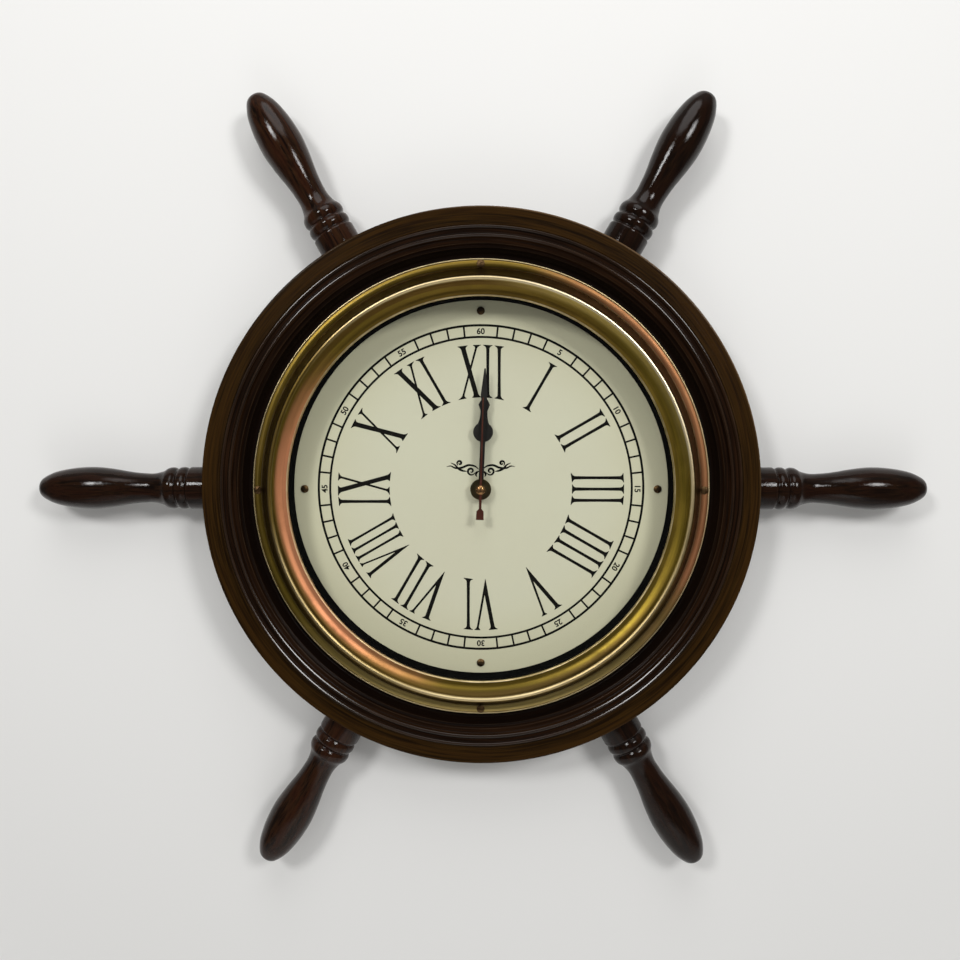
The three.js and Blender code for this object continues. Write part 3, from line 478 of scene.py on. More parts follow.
# Where a point stands on the wheel: radius and height off the wall in millimetres, and its way from the axis
def wheelPlace(tree):
    place = ownPlace(tree)
    x, y, z = partsOf(place)
    spoke = put(tree, "ShaderNodeCombineXYZ", {"X": x, "Z": z}).outputs[0]
    radius = sums("DIVIDE", vectors("LENGTH", spoke), millimetre)
    height = sums("DIVIDE", sums("SUBTRACT", float(wallY), y), millimetre)
    return place, radius, height, vectors("NORMALIZE", spoke)


# The cosine of the angle between a point's way from the axis and a side of the wheel
def towards(way, degrees):
    a = np.radians(degrees)
    return vectors("DOT_PRODUCT", way, (float(np.cos(a)), 0.0, float(np.sin(a))))


def onSide(way, degrees, *levels):
    return ramp(towards(way, degrees), *levels)


# In the looks below a layer is (cover, colour), a band is (from, to), a side is (degrees, cosine from,
# cosine to, least, most) and a bump is (strength, depth in metres)
wornWoodAndHighlight = colour(0.20, 0.125, 0.065)
ringWoodLook = {
    "bandDark": colour(0.0070, 0.0030, 0.0008), "bandLight": colour(0.034, 0.0165, 0.0032),
    "mouldDark": colour(0.0052, 0.0021, 0.0009), "mouldLight": colour(0.0200, 0.0082, 0.0032),
    "figure": (0.35, colour(0.030, 0.0115, 0.0030)), "pore": (0.45, colour(0.008, 0.004, 0.002)),
    "hollow": (0.6, colour(0.005, 0.003, 0.002)), "cove": (0.85, colour(0.0035, 0.0020, 0.0015)),
    "edge": (0.12, wornWoodAndHighlight), "bandRadius": (173.8, 175.4), "coveRadius": (165.5, 159.0),
    "rimRadius": (186.0, 186.9), "rimHeight": (38.2, 39.2), "rawHeight": (0.9, 0.2),
    "crestHeight": (41.2, 41.6),
    "rimHighlightSide": (50.0, 0.5, 0.95, 0.0, 0.5), "beadGloss": (225.0, -0.5, 0.5, 0.06, 0.10),
    "aroundScale": (1.9, 0.0, 1.9), "depthScale": (0.0, 90.0, 0.0), "acrossScale": 0.42, "rawCover": 0.9,
    "rough": (0.36, 0.28), "poreRough": 0.14, "edgeRough": -0.12, "rawRough": 0.35, "edgeMetal": 0.12,
    "gloss": (0.012, 0.004), "poreDepth": -0.8, "crestBump": 0.1, "bump": (0.20, 0.00018),
}


def makeRingWood():
    look = ringWoodLook
    material, tree = newFinish("ring_walnut", specular=0.03, coatRough=0.16, coatIor=3.0)
    place, radius, height, way = wheelPlace(tree)
    around = vectors("MULTIPLY", way, look["aroundScale"])
    deep = vectors("MULTIPLY", place, look["depthScale"])
    across = times(radius, look["acrossScale"])
    grain = groupOf(tree, grainGroup, {"Place": vectors("ADD", around, deep), "Across": across})
    wear = wearOf(tree, place)
    band = blend(grain["Streak"], look["bandDark"], look["bandLight"])
    band = coat(band, grain["Figure"], *look["figure"])
    mould = blend(grain["Streak"], look["mouldDark"], look["mouldLight"])
    base = blend(ramp(radius, *look["bandRadius"]), mould, band)
    base = coat(base, grain["Pore"], *look["pore"])
    base = coat(base, wear["Hollow"], *look["hollow"])
    # Painted shade: the mouldings darken towards the cove round the bezel
    inCove = ramp(radius, *look["coveRadius"])
    base = coat(base, inCove, *look["cove"])
    base = coat(base, wear["Edge"], *look["edge"])
    # Painted highlight: the rim's front edge is lightened towards its upper right
    frontEdge = times(ramp(radius, *look["rimRadius"]), ramp(height, *look["rimHeight"]))
    base = coat(base, frontEdge, onSide(way, *look["rimHighlightSide"]), wornWoodAndHighlight)
    rawSide = ramp(height, *look["rawHeight"])
    rough = timesPlus(grain["Pore"], look["poreRough"], ramp(grain["Streak"], 0.0, 1.0, *look["rough"]))
    rough = timesPlus(wear["Edge"], look["edgeRough"], rough)
    polished = ramp(height, *look["crestHeight"])
    gloss = timesPlus(polished, onSide(way, *look["beadGloss"]), ramp(inCove, 0.0, 1.0, *look["gloss"]))
    pores = timesPlus(grain["Pore"], look["poreDepth"], grain["Streak"])
    grainHeight = times(pores, ramp(polished, 0.0, 1.0, 1.0, look["crestBump"]))
    shaderGets(tree, base=coat(base, rawSide, look["rawCover"], rawBoards(tree, place)),
               rough=timesPlus(rawSide, look["rawRough"], rough),
               metallic=times(wear["Edge"], look["edgeMetal"]),
               coat=sums("MULTIPLY", sums("SUBTRACT", 1.0, rawSide), gloss, clamp=True),
               normal=bumped(grainHeight, *look["bump"]))
    return material


rawWoodLook = {
    "dark": colour(0.085, 0.045, 0.020), "light": colour(0.19, 0.115, 0.056),
    "board": colour(0.075, 0.040, 0.020), "boardShade": (0.3, 0.7, 0.0, 0.4), "boardNoise": (5.3, 0.0, 0.5),
    "pore": (0.5, colour(0.035, 0.018, 0.009)), "joint": (0.75, colour(0.020, 0.011, 0.006)),
    "boardWidth": 62.0, "jointWidth": 0.5, "boardShift": 3.7, "grainScale": (170.0, 60.0, 7.0),
}


# Sawn back of the ring: upright grain in glued boards of slightly different shade, with thin dark joints
def rawBoards(tree, place):
    look = rawWoodLook
    boards = sums("DIVIDE", sums("DIVIDE", partsOf(place)[0], millimetre), look["boardWidth"])
    number = sums("FLOOR", boards)
    own = put(tree, "ShaderNodeCombineXYZ", {"X": times(number, look["boardShift"])}).outputs[0]
    shifted = vectors("ADD", vectors("MULTIPLY", place, look["grainScale"]), own)
    grain = groupOf(tree, grainGroup, {"Place": shifted, "Across": number})
    base = blend(grain["Streak"], look["dark"], look["light"])
    base = blend(ramp(noise(own, *look["boardNoise"]), *look["boardShade"]), base, look["board"])
    base = coat(base, grain["Pore"], *look["pore"])
    joint = sums("LESS_THAN", sums("SUBTRACT", boards, number), look["jointWidth"] / look["boardWidth"])
    return coat(base, joint, *look["joint"])


handleLook = {
    "dark": colour(0.0034, 0.0015, 0.0010), "light": colour(0.034, 0.0150, 0.0056),
    "figure": (0.55, colour(0.029, 0.0068, 0.0030)), "pore": (0.55, colour(0.005, 0.002, 0.002)),
    "hollow": (0.7, colour(0.004, 0.002, 0.002)), "stain": colour(0.0040, 0.0019, 0.0011),
    "edge": (0.16, colour(0.105, 0.062, 0.045)), "grainScale": (0.020, 0.26, 0.26), "across": 3.0,
    "rough": (0.10, 0.06), "peel": (1300.0, 2.0, 0.5), "ripple": (110.0, 2.0, 0.5), "rippleShare": 3.0,
    "bump": (0.45, 0.00013),
}


def makeHandleWood():
    look = handleLook
    material, tree = newFinish("handle_lacquer", specular=0.22)
    place = ownPlace(tree)
    own = vectors("MULTIPLY", ownMark(tree, "grain", "Vector"), look["grainScale"])
    grain = groupOf(tree, grainGroup, {"Place": own, "Across": look["across"]})
    wear = wearOf(tree, place)
    base = blend(grain["Streak"], look["dark"], look["light"])
    base = coat(base, grain["Figure"], *look["figure"])
    base = coat(base, grain["Pore"], *look["pore"])
    base = coat(base, wear["Hollow"], *look["hollow"])
    base = blend(ownMark(tree, "stain"), base, look["stain"])
    skin = timesPlus(noise(place, *look["ripple"]), look["rippleShare"], noise(place, *look["peel"]))
    shaderGets(tree, base=coat(base, wear["Edge"], *look["edge"]),
               rough=ramp(grain["Streak"], 0.0, 1.0, *look["rough"]), normal=bumped(skin, *look["bump"]))
    return material


tarnishAndShade = colour(0.100, 0.055, 0.014)
brassWearAndHighlight = colour(0.74, 0.60, 0.34)
brassLook = {
    "gold": colour(0.31, 0.212, 0.030), "olive": colour(0.215, 0.156, 0.021),
    "copper": (0.85, colour(0.66, 0.268, 0.140)), "lip": (0.45, tarnishAndShade), "smudge": (0.14, tarnishAndShade),
    "dirt": (0.75, tarnishAndShade), "edge": (0.85, brassWearAndHighlight), "rim": (0.8, brassWearAndHighlight),
    "wallFootShade": colour(0.018, 0.0055, 0.0010), "wallTopShade": colour(0.032, 0.012, 0.002),
    "wallLit": colour(0.19, 0.11, 0.022), "wallCover": 0.95, "footShade": colour(0.05, 0.034, 0.010),
    "hollowHighlight": colour(0.56, 0.42, 0.13), "ridgeHighlight": colour(0.95, 0.82, 0.55),
    "ridgeShadeColour": colour(0.12, 0.075, 0.015), "ridgeCover": 0.9, "ridge": 138.7, "flangeEdge": 147.4,
    "hollowRadius": (136.8, 134.4), "lipRadius": (134.5, 129.0), "faceRadius": (129.0, 134.5),
    "wallRadius": (139.1, 140.0), "insideRadius": (138.0, 137.3), "underRadius": (132.8, 135.0),
    "hollowHighlightRadius": (133.0, 137.6, 0.0, 0.75), "rimRadius": (153.0, 153.5), "wallHeight": (39.0, 51.0),
    "offRidge": (1.3, 0.7), "ridgeHeight": (52.6, 53.0),
    "leftWarm": (200.0, 0.42, 0.95), "rightWarm": (16.0, 0.48, 0.80), "wallSide": (285.0, -0.2, 0.9),
    "shadeTopAndFoot": (105.0, 0.5, 1.0, 0.15, 0.95), "shadeLowerLeft": (225.0, 0.6, 0.95, 0.0, 0.85),
    "flangeShade": (270.0, -0.2, 0.8, 0.5, 0.05), "hollowTopShade": (90.0, 0.5, 1.0, 0.0, 0.6),
    "foot": (283.0, 0.78, 0.97, 0.0, 0.75), "flangeFootHighlight": (275.0, 0.4, 0.9, 0.0, 0.22),
    "ridgeHighlightSide": (45.0, 0.7, 0.97),
    "ridgeShadeSides": [(165.0, 0.6, 0.97), (222.0, 0.75, 0.95, 0.0, 0.62), (322.0, 0.75, 0.95, 0.0, 0.55)],
    "mottleScale": 16.0, "drift": (0.16, -0.08), "aroundScale": (3.4, 0.0, 3.4), "acrossScale": 1.3,
    "lathe": (1.0, 3.0, 0.6), "latheShade": (0.20, 0.80), "rough": (0.25, 0.75, 0.34, 0.42),
    "smudgeRough": 0.10, "warmRough": 0.10, "wallRough": 0.05, "bump": (0.05, 0.0002),
}


def makeBezelBrass():
    look = brassLook
    material, tree = newFinish("bezel_antique_brass", metallic=1.0)
    place, radius, height, way = wheelPlace(tree)
    mottle = groupOf(tree, mottleGroup, {"Place": place, "Scale": look["mottleScale"]})
    wear = wearOf(tree, place)
    around = vectors("MULTIPLY", way, look["aroundScale"])
    lathe = noise(around, *look["lathe"], times(radius, look["acrossScale"]))
    drift = timesPlus(mottle["Cloud"], *look["drift"])
    inHollow = ramp(radius, *look["hollowRadius"])
    onFlange = sums("GREATER_THAN", radius, look["flangeEdge"])
    leftWarm, rightWarm = [ramp(sums("ADD", towards(way, degrees), drift), *levels)
                           for degrees, *levels in (look["leftWarm"], look["rightWarm"])]
    warm = largest(times(leftWarm, inHollow), times(rightWarm, onFlange))
    base = blend(ramp(lathe, *look["latheShade"]), look["olive"], look["gold"])
    base = coat(base, ramp(radius, *look["lipRadius"]), *look["lip"])
    base = coat(base, warm, *look["copper"])
    steep = times(sums("LESS_THAN", radius, look["flangeEdge"]), ramp(radius, *look["wallRadius"]))
    insideRidge = ramp(radius, *look["insideRadius"])
    # Painted shade in the tarnish colour on chosen sides: the flange's upper half, the foot of the ridge,
    # and the top of the hollow
    underRidge = times(ramp(radius, *look["underRadius"]), insideRidge)
    degrees, *levels = look["shadeTopAndFoot"]
    underRidgeShade = largest(ramp(sums("ABSOLUTE", towards(way, degrees)), *levels), onSide(way, *look["shadeLowerLeft"]))
    flangeShade = times(onFlange, onSide(way, *look["flangeShade"]))
    hollowTopShade = times(inHollow, onSide(way, *look["hollowTopShade"]))
    base = blend(largest(flangeShade, times(underRidge, underRidgeShade), hollowTopShade), base, tarnishAndShade)
    foot = times(insideRidge, onSide(way, *look["foot"]))
    base = coat(base, ramp(radius, *look["faceRadius"]), foot, look["footShade"])
    # Painted highlight: the flange is lightened towards its bottom
    base = coat(base, onFlange, onSide(way, *look["flangeFootHighlight"]), brassWearAndHighlight)
    base = coat(base, mottle["Smudge"], *look["smudge"])
    base = coat(base, wear["Hollow"], *look["dirt"])
    base = coat(base, wear["Edge"], *look["edge"])
    # Painted shade and reflection: the steep wall is painted dark, darkest at its foot, and lighter on its
    # lower side as if lit
    wallTopShade = blend(onSide(way, *look["wallSide"]), look["wallTopShade"], look["wallLit"])
    wall = blend(ramp(height, *look["wallHeight"]), look["wallFootShade"], wallTopShade)
    base = coat(base, steep, look["wallCover"], wall)
    # Painted highlight and shade: a bright line painted along the ridge, brightest at its upper right and
    # dimmed on three other sides
    offRidge = sums("ABSOLUTE", sums("SUBTRACT", radius, look["ridge"]))
    onRidge = times(ramp(offRidge, *look["offRidge"]), ramp(height, *look["ridgeHeight"]))
    ridgeHighlightSide = onSide(way, *look["ridgeHighlightSide"])
    # Painted highlight: the hollow just inside the ridge is lightened at its upper right
    base = coat(base, times(ridgeHighlightSide, ramp(radius, *look["hollowHighlightRadius"])), insideRidge, look["hollowHighlight"])
    ridgeShadeSide = largest(*[onSide(way, *side) for side in look["ridgeShadeSides"]])
    ridgeShade = blend(ridgeHighlightSide, blend(ridgeShadeSide, brassWearAndHighlight, look["ridgeShadeColour"]), look["ridgeHighlight"])
    base = coat(base, onRidge, look["ridgeCover"], ridgeShade)
    rough = timesPlus(mottle["Smudge"], look["smudgeRough"], ramp(lathe, *look["rough"]))
    rough = timesPlus(warm, look["warmRough"], rough)
    # A bright line painted along the flange's rolled rim: partly polish wear, partly painted highlight
    shaderGets(tree, base=coat(base, ramp(radius, *look["rimRadius"]), *look["rim"]),
               rough=timesPlus(steep, look["wallRough"], rough), normal=bumped(lathe, *look["bump"]))
    return material


plainBump = 0.35


# A plain metal, paint or plastic: two shades clouded together, a smudged roughness and a fine moulded bump
def makePlain(name, shade, cloudShade, rough, roughSpread, scale, bumpDepth, **constants):
    material, tree = newFinish(name, **constants)
    mottle = groupOf(tree, mottleGroup, {"Place": ownPlace(tree), "Scale": scale})
    base = blend(mottle["Cloud"], colour(*shade), colour(*cloudShade))
    shaderGets(tree, base=base, rough=ramp(mottle["Smudge"], 0.0, 1.0, rough, rough + roughSpread))
    if bumpDepth > 0:
        shaderGets(tree, normal=bumped(mottle["Speck"], plainBump, bumpDepth))
    return material, tree, mottle, base


dialLook = {
    "centre": colour(0.65, 0.636, 0.50), "edge": colour(0.655, 0.63, 0.455), "rimRadius": (70.0, 128.0),
    "cloud": (0.16, colour(0.60, 0.545, 0.42)), "smudge": (0.07, colour(0.60, 0.545, 0.42)),
    "speck": (0.05, colour(0.45, 0.40, 0.29)), "mottleScale": 11.0, "rough": (0.50, 0.60),
    "backDark": colour(0.19, 0.185, 0.175), "backLight": colour(0.33, 0.325, 0.31),
    "backStain": (0.35, colour(0.16, 0.135, 0.105)), "backMetal": 0.9, "frontZ": 21.4,
    "brushScale": (7.0, 40.0, 650.0), "brush": (1.0, 4.0, 0.65), "brushShade": (0.3, 0.7), "brushBump": 1.6,
    "bump": (0.10, 0.00012),
}


# Printed ivory before, bare brushed metal behind
def makeDialPaint():
    look = dialLook
    material, tree = newFinish("dial_ivory", specular=0.30)
    place, radius, height, _ = wheelPlace(tree)
    mottle = groupOf(tree, mottleGroup, {"Place": place, "Scale": look["mottleScale"]})
    # The ivory turns a little warmer towards the rim: partly its own tone, partly painted warm reflection
    # from the brass
    base = blend(ramp(radius, *look["rimRadius"]), look["centre"], look["edge"])
    for mask, layer in (("Cloud", "cloud"), ("Smudge", "smudge"), ("Speck", "speck")):
        base = coat(base, mottle[mask], *look[layer])
    atBack = sums("LESS_THAN", height, look["frontZ"])
    brush = noise(vectors("MULTIPLY", place, look["brushScale"]), *look["brush"])
    bare = blend(ramp(brush, *look["brushShade"]), look["backDark"], look["backLight"])
    bare = coat(bare, mottle["Smudge"], *look["backStain"])
    grainHeight = timesPlus(times(brush, atBack), look["brushBump"], mottle["Speck"])
    shaderGets(tree, base=blend(atBack, base, bare), metallic=times(atBack, look["backMetal"]),
               rough=ramp(mottle["Cloud"], 0.0, 1.0, *look["rough"]),
               normal=bumped(grainHeight, *look["bump"]))
    return material


blackHandLook = {
    "paint": ((0.009, 0.0085, 0.008), (0.015, 0.013, 0.012), 0.30, 0.14, 60.0, 0.00005), "bossRadius": 7.3,
    "bronze": (colour(0.050, 0.042, 0.018), colour(0.085, 0.060, 0.026)), "bossMetal": 0.8,
}


# Black paint, rubbed to a dark bronze on the boss
def makeBlackHand():
    look = blackHandLook
    material, tree, mottle, base = makePlain("hand_black", *look["paint"], specular=0.4)
    boss = sums("LESS_THAN", wheelPlace(tree)[1], look["bossRadius"])
    shaderGets(tree, base=blend(boss, base, blend(mottle["Cloud"], *look["bronze"])),
               metallic=times(boss, look["bossMetal"]))
    return material


glassLook = {"tint": colour(0.985, 0.99, 0.975), "through": colour(0.97, 0.975, 0.96)}


# Clear pane: light for the dial passes straight through, and what the eye sees is bent and reflected
def makeGlass():
    material, tree = newFinish("pane_glass", base=glassLook["tint"], rough=0.0, ior=1.30, transmission=1.0,
                               specular=0.5)
    path = put(tree, "ShaderNodeLightPath").outputs
    through = largest(path["Is Shadow Ray"], path["Is Diffuse Ray"], path["Is Glossy Ray"])
    letThrough(tree, through, glassLook["through"])
    return material


batteryLook = {
    "jacket": colour(0.030, 0.065, 0.19), "cloud": (0.3, colour(0.045, 0.085, 0.23)), "mottleScale": 120.0,
    "band": colour(0.55, 0.56, 0.58), "end": colour(0.58, 0.58, 0.57), "bandFrom": 14.5, "bandTo": 19.0,
    "jacketEnd": 23.9, "bandMetal": 0.7, "rough": (0.24, 0.36),
}


def makeBatteryFilm():
    look = batteryLook
    material, tree = newFinish("battery_film", specular=0.5)
    place = ownPlace(tree)
    along = sums("DIVIDE", partsOf(place)[0], millimetre)
    mottle = groupOf(tree, mottleGroup, {"Place": place, "Scale": look["mottleScale"]})
    band = times(sums("GREATER_THAN", along, look["bandFrom"]), sums("LESS_THAN", along, look["bandTo"]))
    ends = sums("GREATER_THAN", sums("ABSOLUTE", along), look["jacketEnd"])
    base = blend(band, coat(look["jacket"], mottle["Cloud"], *look["cloud"]), look["band"])
    shaderGets(tree, base=blend(ends, base, look["end"]),
               metallic=largest(ends, times(band, look["bandMetal"])),
               rough=ramp(mottle["Smudge"], 0.0, 1.0, *look["rough"]))
    return material


ringWood, handleWood, bezelBrass = makeRingWood(), makeHandleWood(), makeBezelBrass()
dialPaint, blackHand = makeDialPaint(), makeBlackHand()
paneGlass, batteryFilm = makeGlass(), makeBatteryFilm()
# Plain finishes: shade, cloud shade, roughness and its spread, scale of the clouds, bump depth in metres
metals = {
    "screw_bronze": ((0.125, 0.075, 0.034), (0.075, 0.042, 0.018), 0.42, 0.20, 140.0, 0.00003),
    "cap_copper_brass": ((0.42, 0.22, 0.10), (0.30, 0.17, 0.07), 0.26, 0.16, 160.0, 0.00003),
    "arbor_brass": ((0.60, 0.43, 0.15), (0.50, 0.36, 0.12), 0.22, 0.12, 130.0, 0.00002),
    "contact_nickel": ((0.58, 0.57, 0.54), (0.46, 0.455, 0.44), 0.22, 0.16, 120.0, 0.00003),
    "hanger_zinc": ((0.44, 0.445, 0.44), (0.33, 0.335, 0.335), 0.32, 0.20, 70.0, 0.00006),
    "coil_copper": ((0.48, 0.17, 0.07), (0.38, 0.12, 0.05), 0.28, 0.12, 140.0, 0.00003),
}
# Paints and plastics: the same, with how much they mirror last
paints = {
    "well_black_and_shade": ((0.0030, 0.0030, 0.0030), (0.0045, 0.0045, 0.0045), 0.92, 0.06, 40.0, 0.0, 0.0),
    "gasket_rubber": ((0.010, 0.010, 0.010), (0.016, 0.016, 0.016), 0.75, 0.15, 60.0, 0.00006, 0.08),
    "dial_ink": ((0.0035, 0.0032, 0.0025), (0.0060, 0.0052, 0.0040), 0.55, 0.12, 90.0, 0.0, 0.08),
    "hand_dark_red": ((0.052, 0.0105, 0.0060), (0.080, 0.020, 0.010), 0.30, 0.14, 80.0, 0.00004, 0.4),
    "case_black_plastic": ((0.013, 0.0135, 0.0145), (0.018, 0.0185, 0.0195), 0.42, 0.16, 36.0, 0.00010, 0.4),
    "wheel_acetal": ((0.68, 0.66, 0.60), (0.60, 0.585, 0.53), 0.38, 0.12, 90.0, 0.00004, 0.45),
    "board_green": ((0.014, 0.085, 0.040), (0.018, 0.110, 0.052), 0.40, 0.14, 80.0, 0.00005, 0.4),
}
plain = {name: makePlain(name, *look, metallic=1.0)[0] for name, look in metals.items()}
for paintName, (*paintLook, mirror) in paints.items():
    plain[paintName] = makePlain(paintName, *paintLook, specular=mirror)[0]
dialInk = plain["dial_ink"]
print("finishes:", len(bpy.data.materials))

# Ring: outer band, two beads with a hollow between, ogee, cove, bezel seat, dial well and ledge,
# as (radius, z, trim)
ringRadius = 187.5
ring = {
    "steps": 320, "cornerSteps": 6, "crease": 40, "wearReach": 0.9, "handleZ": 20.0,
    "socketRadius": 8.1, "socketFrom": 162.9, "socketTo": 193.5,
    "profile": [
        (110, 0, 0.5), (185.5, 0, 0.8), (187.5, 2, 1.2), (187.5, 38.5, 0.4), (187.25, 39.7, 0.25),
        (186.3, 39.9, 0.25), (175.8, 39.6, 0.3), (175.0, 38.9, 0.2), (174.5, 41.9, 0.25),
        (173.7, 42.05, 0.2), (172.8, 41.55, 0.25), (172.2, 40.6, 0.4), (169.6, 40.4, 0.5),
        (168.6, 42.9, 0.25), (167.8, 43.05, 0.2), (166.9, 42.55, 0.25), (165.6, 40.9, 0.6),
        (162.9, 40.5, 0.35), (161.7, 39.2, 0.4), (160.4, 38.7, 0.45), (158.5, 36, 1.6), (156.4, 33.5, 0.9),
        (143, 33.5, 0.4), (138, 42.8, 0.4), (127.4, 42.8, 0.4), (127.4, 19.8, 0.3), (110, 19.8, 0.4),
    ],
}
hanger = {
    "halfWidth": 14.0, "bottom": 84.0, "top": 136.0, "corner": 4.0, "back": 1.4, "front": 2.8, "bevel": 0.2,
    "pocketDeep": 3.0, "pocketGap": 0.3, "pocketBelow": 6.0, "holeY": 93.0, "holeRadius": 5.5,
    "slotTop": 103.0, "slotHalf": 2.4, "screwX": 8.0, "screwY": 124.0, "screwHole": 1.7, "screwLength": 12.0,
    "pilotFrom": 2.5, "pilotTo": 14.1, "screws": {"left": (-1, 35.0), "right": (1, 120.0)},
}
screwTurns = {"right": 0, "top": 90, "left": 180, "bottom": 270}
# Screws: circle they stand on, height of the seat, the wood's face under it, length, turns of the four slots
bezelScrew = {"circle": 150.3, "seat": 36.1, "wood": 33.5, "length": 16.5,
              "slots": (12.0, 68.0, 40.0, 110.0)}
dialScrew = {"circle": 120.0, "seat": 22.0, "wood": 19.8, "length": 14.0,
             "slots": (25.0, 75.0, 150.0, 95.0)}
pilot = {"radius": 1.7, "spare": 0.7}
cutOver = 1.0  # how far a cutter stands out of the face that it cuts
# Each handle and how darkly it took the stain
handleStain = {"right": 0.60, "upper_right": 0.72, "upper_left": 0.05, "left": 0.50, "lower_left": 0.15,
               "lower_right": 0.62}
handleTurn = 60


# Local (along, side, out) coordinates of a handle become face millimetres
def alongHandle(local, degrees):
    a = np.radians(degrees)
    along, side, out = local[..., 0], local[..., 1], local[..., 2]
    return np.stack([along * np.cos(a) - side * np.sin(a), along * np.sin(a) + side * np.cos(a),
                     ring["handleZ"] + out], axis=-1)


def spotsOn(circle):
    return [(name, circle * np.cos(np.radians(degrees)), circle * np.sin(np.radians(degrees)))
            for name, degrees in screwTurns.items()]


# Sockets for the tenons, pilot holes for the screws and the pocket for the hanger, all in one cutting mesh
def ringCutters():
    points, faces = cylinder(ring["socketRadius"], ring["socketFrom"], ring["socketTo"], steps=40)
    cutters = [(alongHandle(points[:, [2, 0, 1]], handleTurn * i), faces) for i in range(len(handleStain))]
    for settings in (bezelScrew, dialScrew):
        deep = settings["seat"] - settings["length"] - pilot["spare"]
        hole = cylinder(pilot["radius"], deep, settings["wood"] + cutOver)
        cutters += [moveShell(hole, (x, y, 0)) for _, x, y in spotsOn(settings["circle"])]
    half = hanger["halfWidth"] + hanger["pocketGap"]
    pocket = roundedBox(-half, half, hanger["bottom"] - hanger["pocketBelow"],
                        hanger["top"] + hanger["pocketGap"], hanger["corner"])
    cutters.append(slab([pocket], -cutOver, hanger["pocketDeep"]))
    hole = cylinder(pilot["radius"], hanger["pilotFrom"], hanger["pilotTo"])
    cutters += [moveShell(hole, (side * hanger["screwX"], hanger["screwY"], 0)) for side in (-1, 1)]
    return joinShells(*cutters)


def cutMesh(name, mesh, cutterShell, crease):
    body = addObject(name + "_uncut", mesh)
    cutter = addObject(name + "_cutter", meshOf(name + "_cutter", cutterShell))
    cut = body.modifiers.new("cut", "BOOLEAN")
    cut.operation, cut.solver, cut.object = "DIFFERENCE", "EXACT", cutter
    result = finalMesh(body)
    for made in (body, cutter):
        bpy.data.objects.remove(made)
    result.name = name
    tidyMesh(result, crease)
    return result


# A turned ring with holes in it, whose relief is marked for the wear
def cutRing(name, settings, cutters):
    profile = holdFlats(softCorners(settings["profile"], settings["cornerSteps"]))
    marks = {"relief": np.tile(reliefOf(profile, settings["wearReach"]), settings["steps"])}
    blank = meshOf(name + "_blank", turned(profile, settings["steps"]), settings["crease"], marks)
    return cutMesh(name, blank, cutters, settings["crease"])


ringMesh = cutRing("wheel_ring_turned", ring, ringCutters())
showMesh("wheel_ring_turned", ringMesh, ringWood, "wheel_ring")
# Black skin on the wall of the dial's well and on the seat under the gasket, as (radius, z): partly black
# paint, partly painted shade of the deep well
wellSkin = [(127.24, 22.1), (127.36, 22.1), (127.36, 42.83), (132.5, 42.83), (132.5, 42.92), (127.24, 42.92)]
addPiece("dial_well_black_and_shade", turned(wellSkin, ring["steps"]), plain["well_black_and_shade"],
         "wheel_ring", stands=False)
print("ring and well:", len(ringMesh.vertices), "points")

# Handle: tenon, collar scribed to the rim, two beads and a swelled grip, as (radius, along, trim)
handle = {
    "steps": 64, "cornerSteps": 8, "crease": 50, "wearReach": 0.9, "shoulder": 187.8, "scribeEnd": 200.0,
    "gap": 0.05, "tenonEnd": 187.78, "grainStep": (400.0, 31.0, 17.0),
    "profile": [
        (0, 163.5, 0), (8, 163.5, 0.6), (8, 187.8, 0.1), (14.5, 187.8, 0.25), (14.5, 200.2, 0.9),
        (13, 201.4, 0.5), (14.5, 203.9, 1.3), (14.5, 206.9, 1.3), (12.9, 209.2, 0.5), (14.4, 211.7, 1.3),
        (14.2, 215.2, 1.8), (11.7, 218.8, 2.2), (9.8, 226, 4), (10.6, 239, 6), (13.6, 256, 6),
        (14.8, 268, 6), (13.9, 282, 6), (11.6, 293.5, 5), (9.0, 299.5, 3), (6.6, 303.4, 2), (4.2, 305, 1.2),
        (0, 305, 0),
    ],
}


# The collar's foot follows the rim, a cylinder: along = square root of (rim radius squared - side squared)
def handleShell(degrees):
    profile = softCorners(handle["profile"], handle["cornerSteps"], closed=False)
    grid = turnGrid(profile, handle["steps"])
    side, out, along = grid[..., 0], grid[..., 1], grid[..., 2]
    rim = np.sqrt(ringRadius**2 - side**2) + handle["gap"] - handle["shoulder"]
    fade = np.clip((handle["scribeEnd"] - along) / (handle["scribeEnd"] - handle["shoulder"]), 0, 1)
    along = along + rim * np.where(along < handle["tenonEnd"], 0, fade)
    local = np.stack([along, side, out], axis=-1)
    shell = gridShell(alongHandle(local, degrees), wrapColumns=False)
    relief = np.tile(reliefOf(profile, handle["wearReach"]), handle["steps"])
    return shell, local.reshape(-1, 3), relief


for i, (handleName, stain) in enumerate(handleStain.items()):
    handleMade, grainPlace, handleRelief = handleShell(handleTurn * i)
    marks = {"relief": handleRelief, "grain": grainPlace + np.array(handle["grainStep"]) * i,
             "stain": np.full(len(handleRelief), stain)}
    addPiece(f"handle_{handleName}_turned", handleMade, handleWood, f"handle_{handleName}",
             crease=handle["crease"], marks=marks)
print("handles:", len(handleStain))

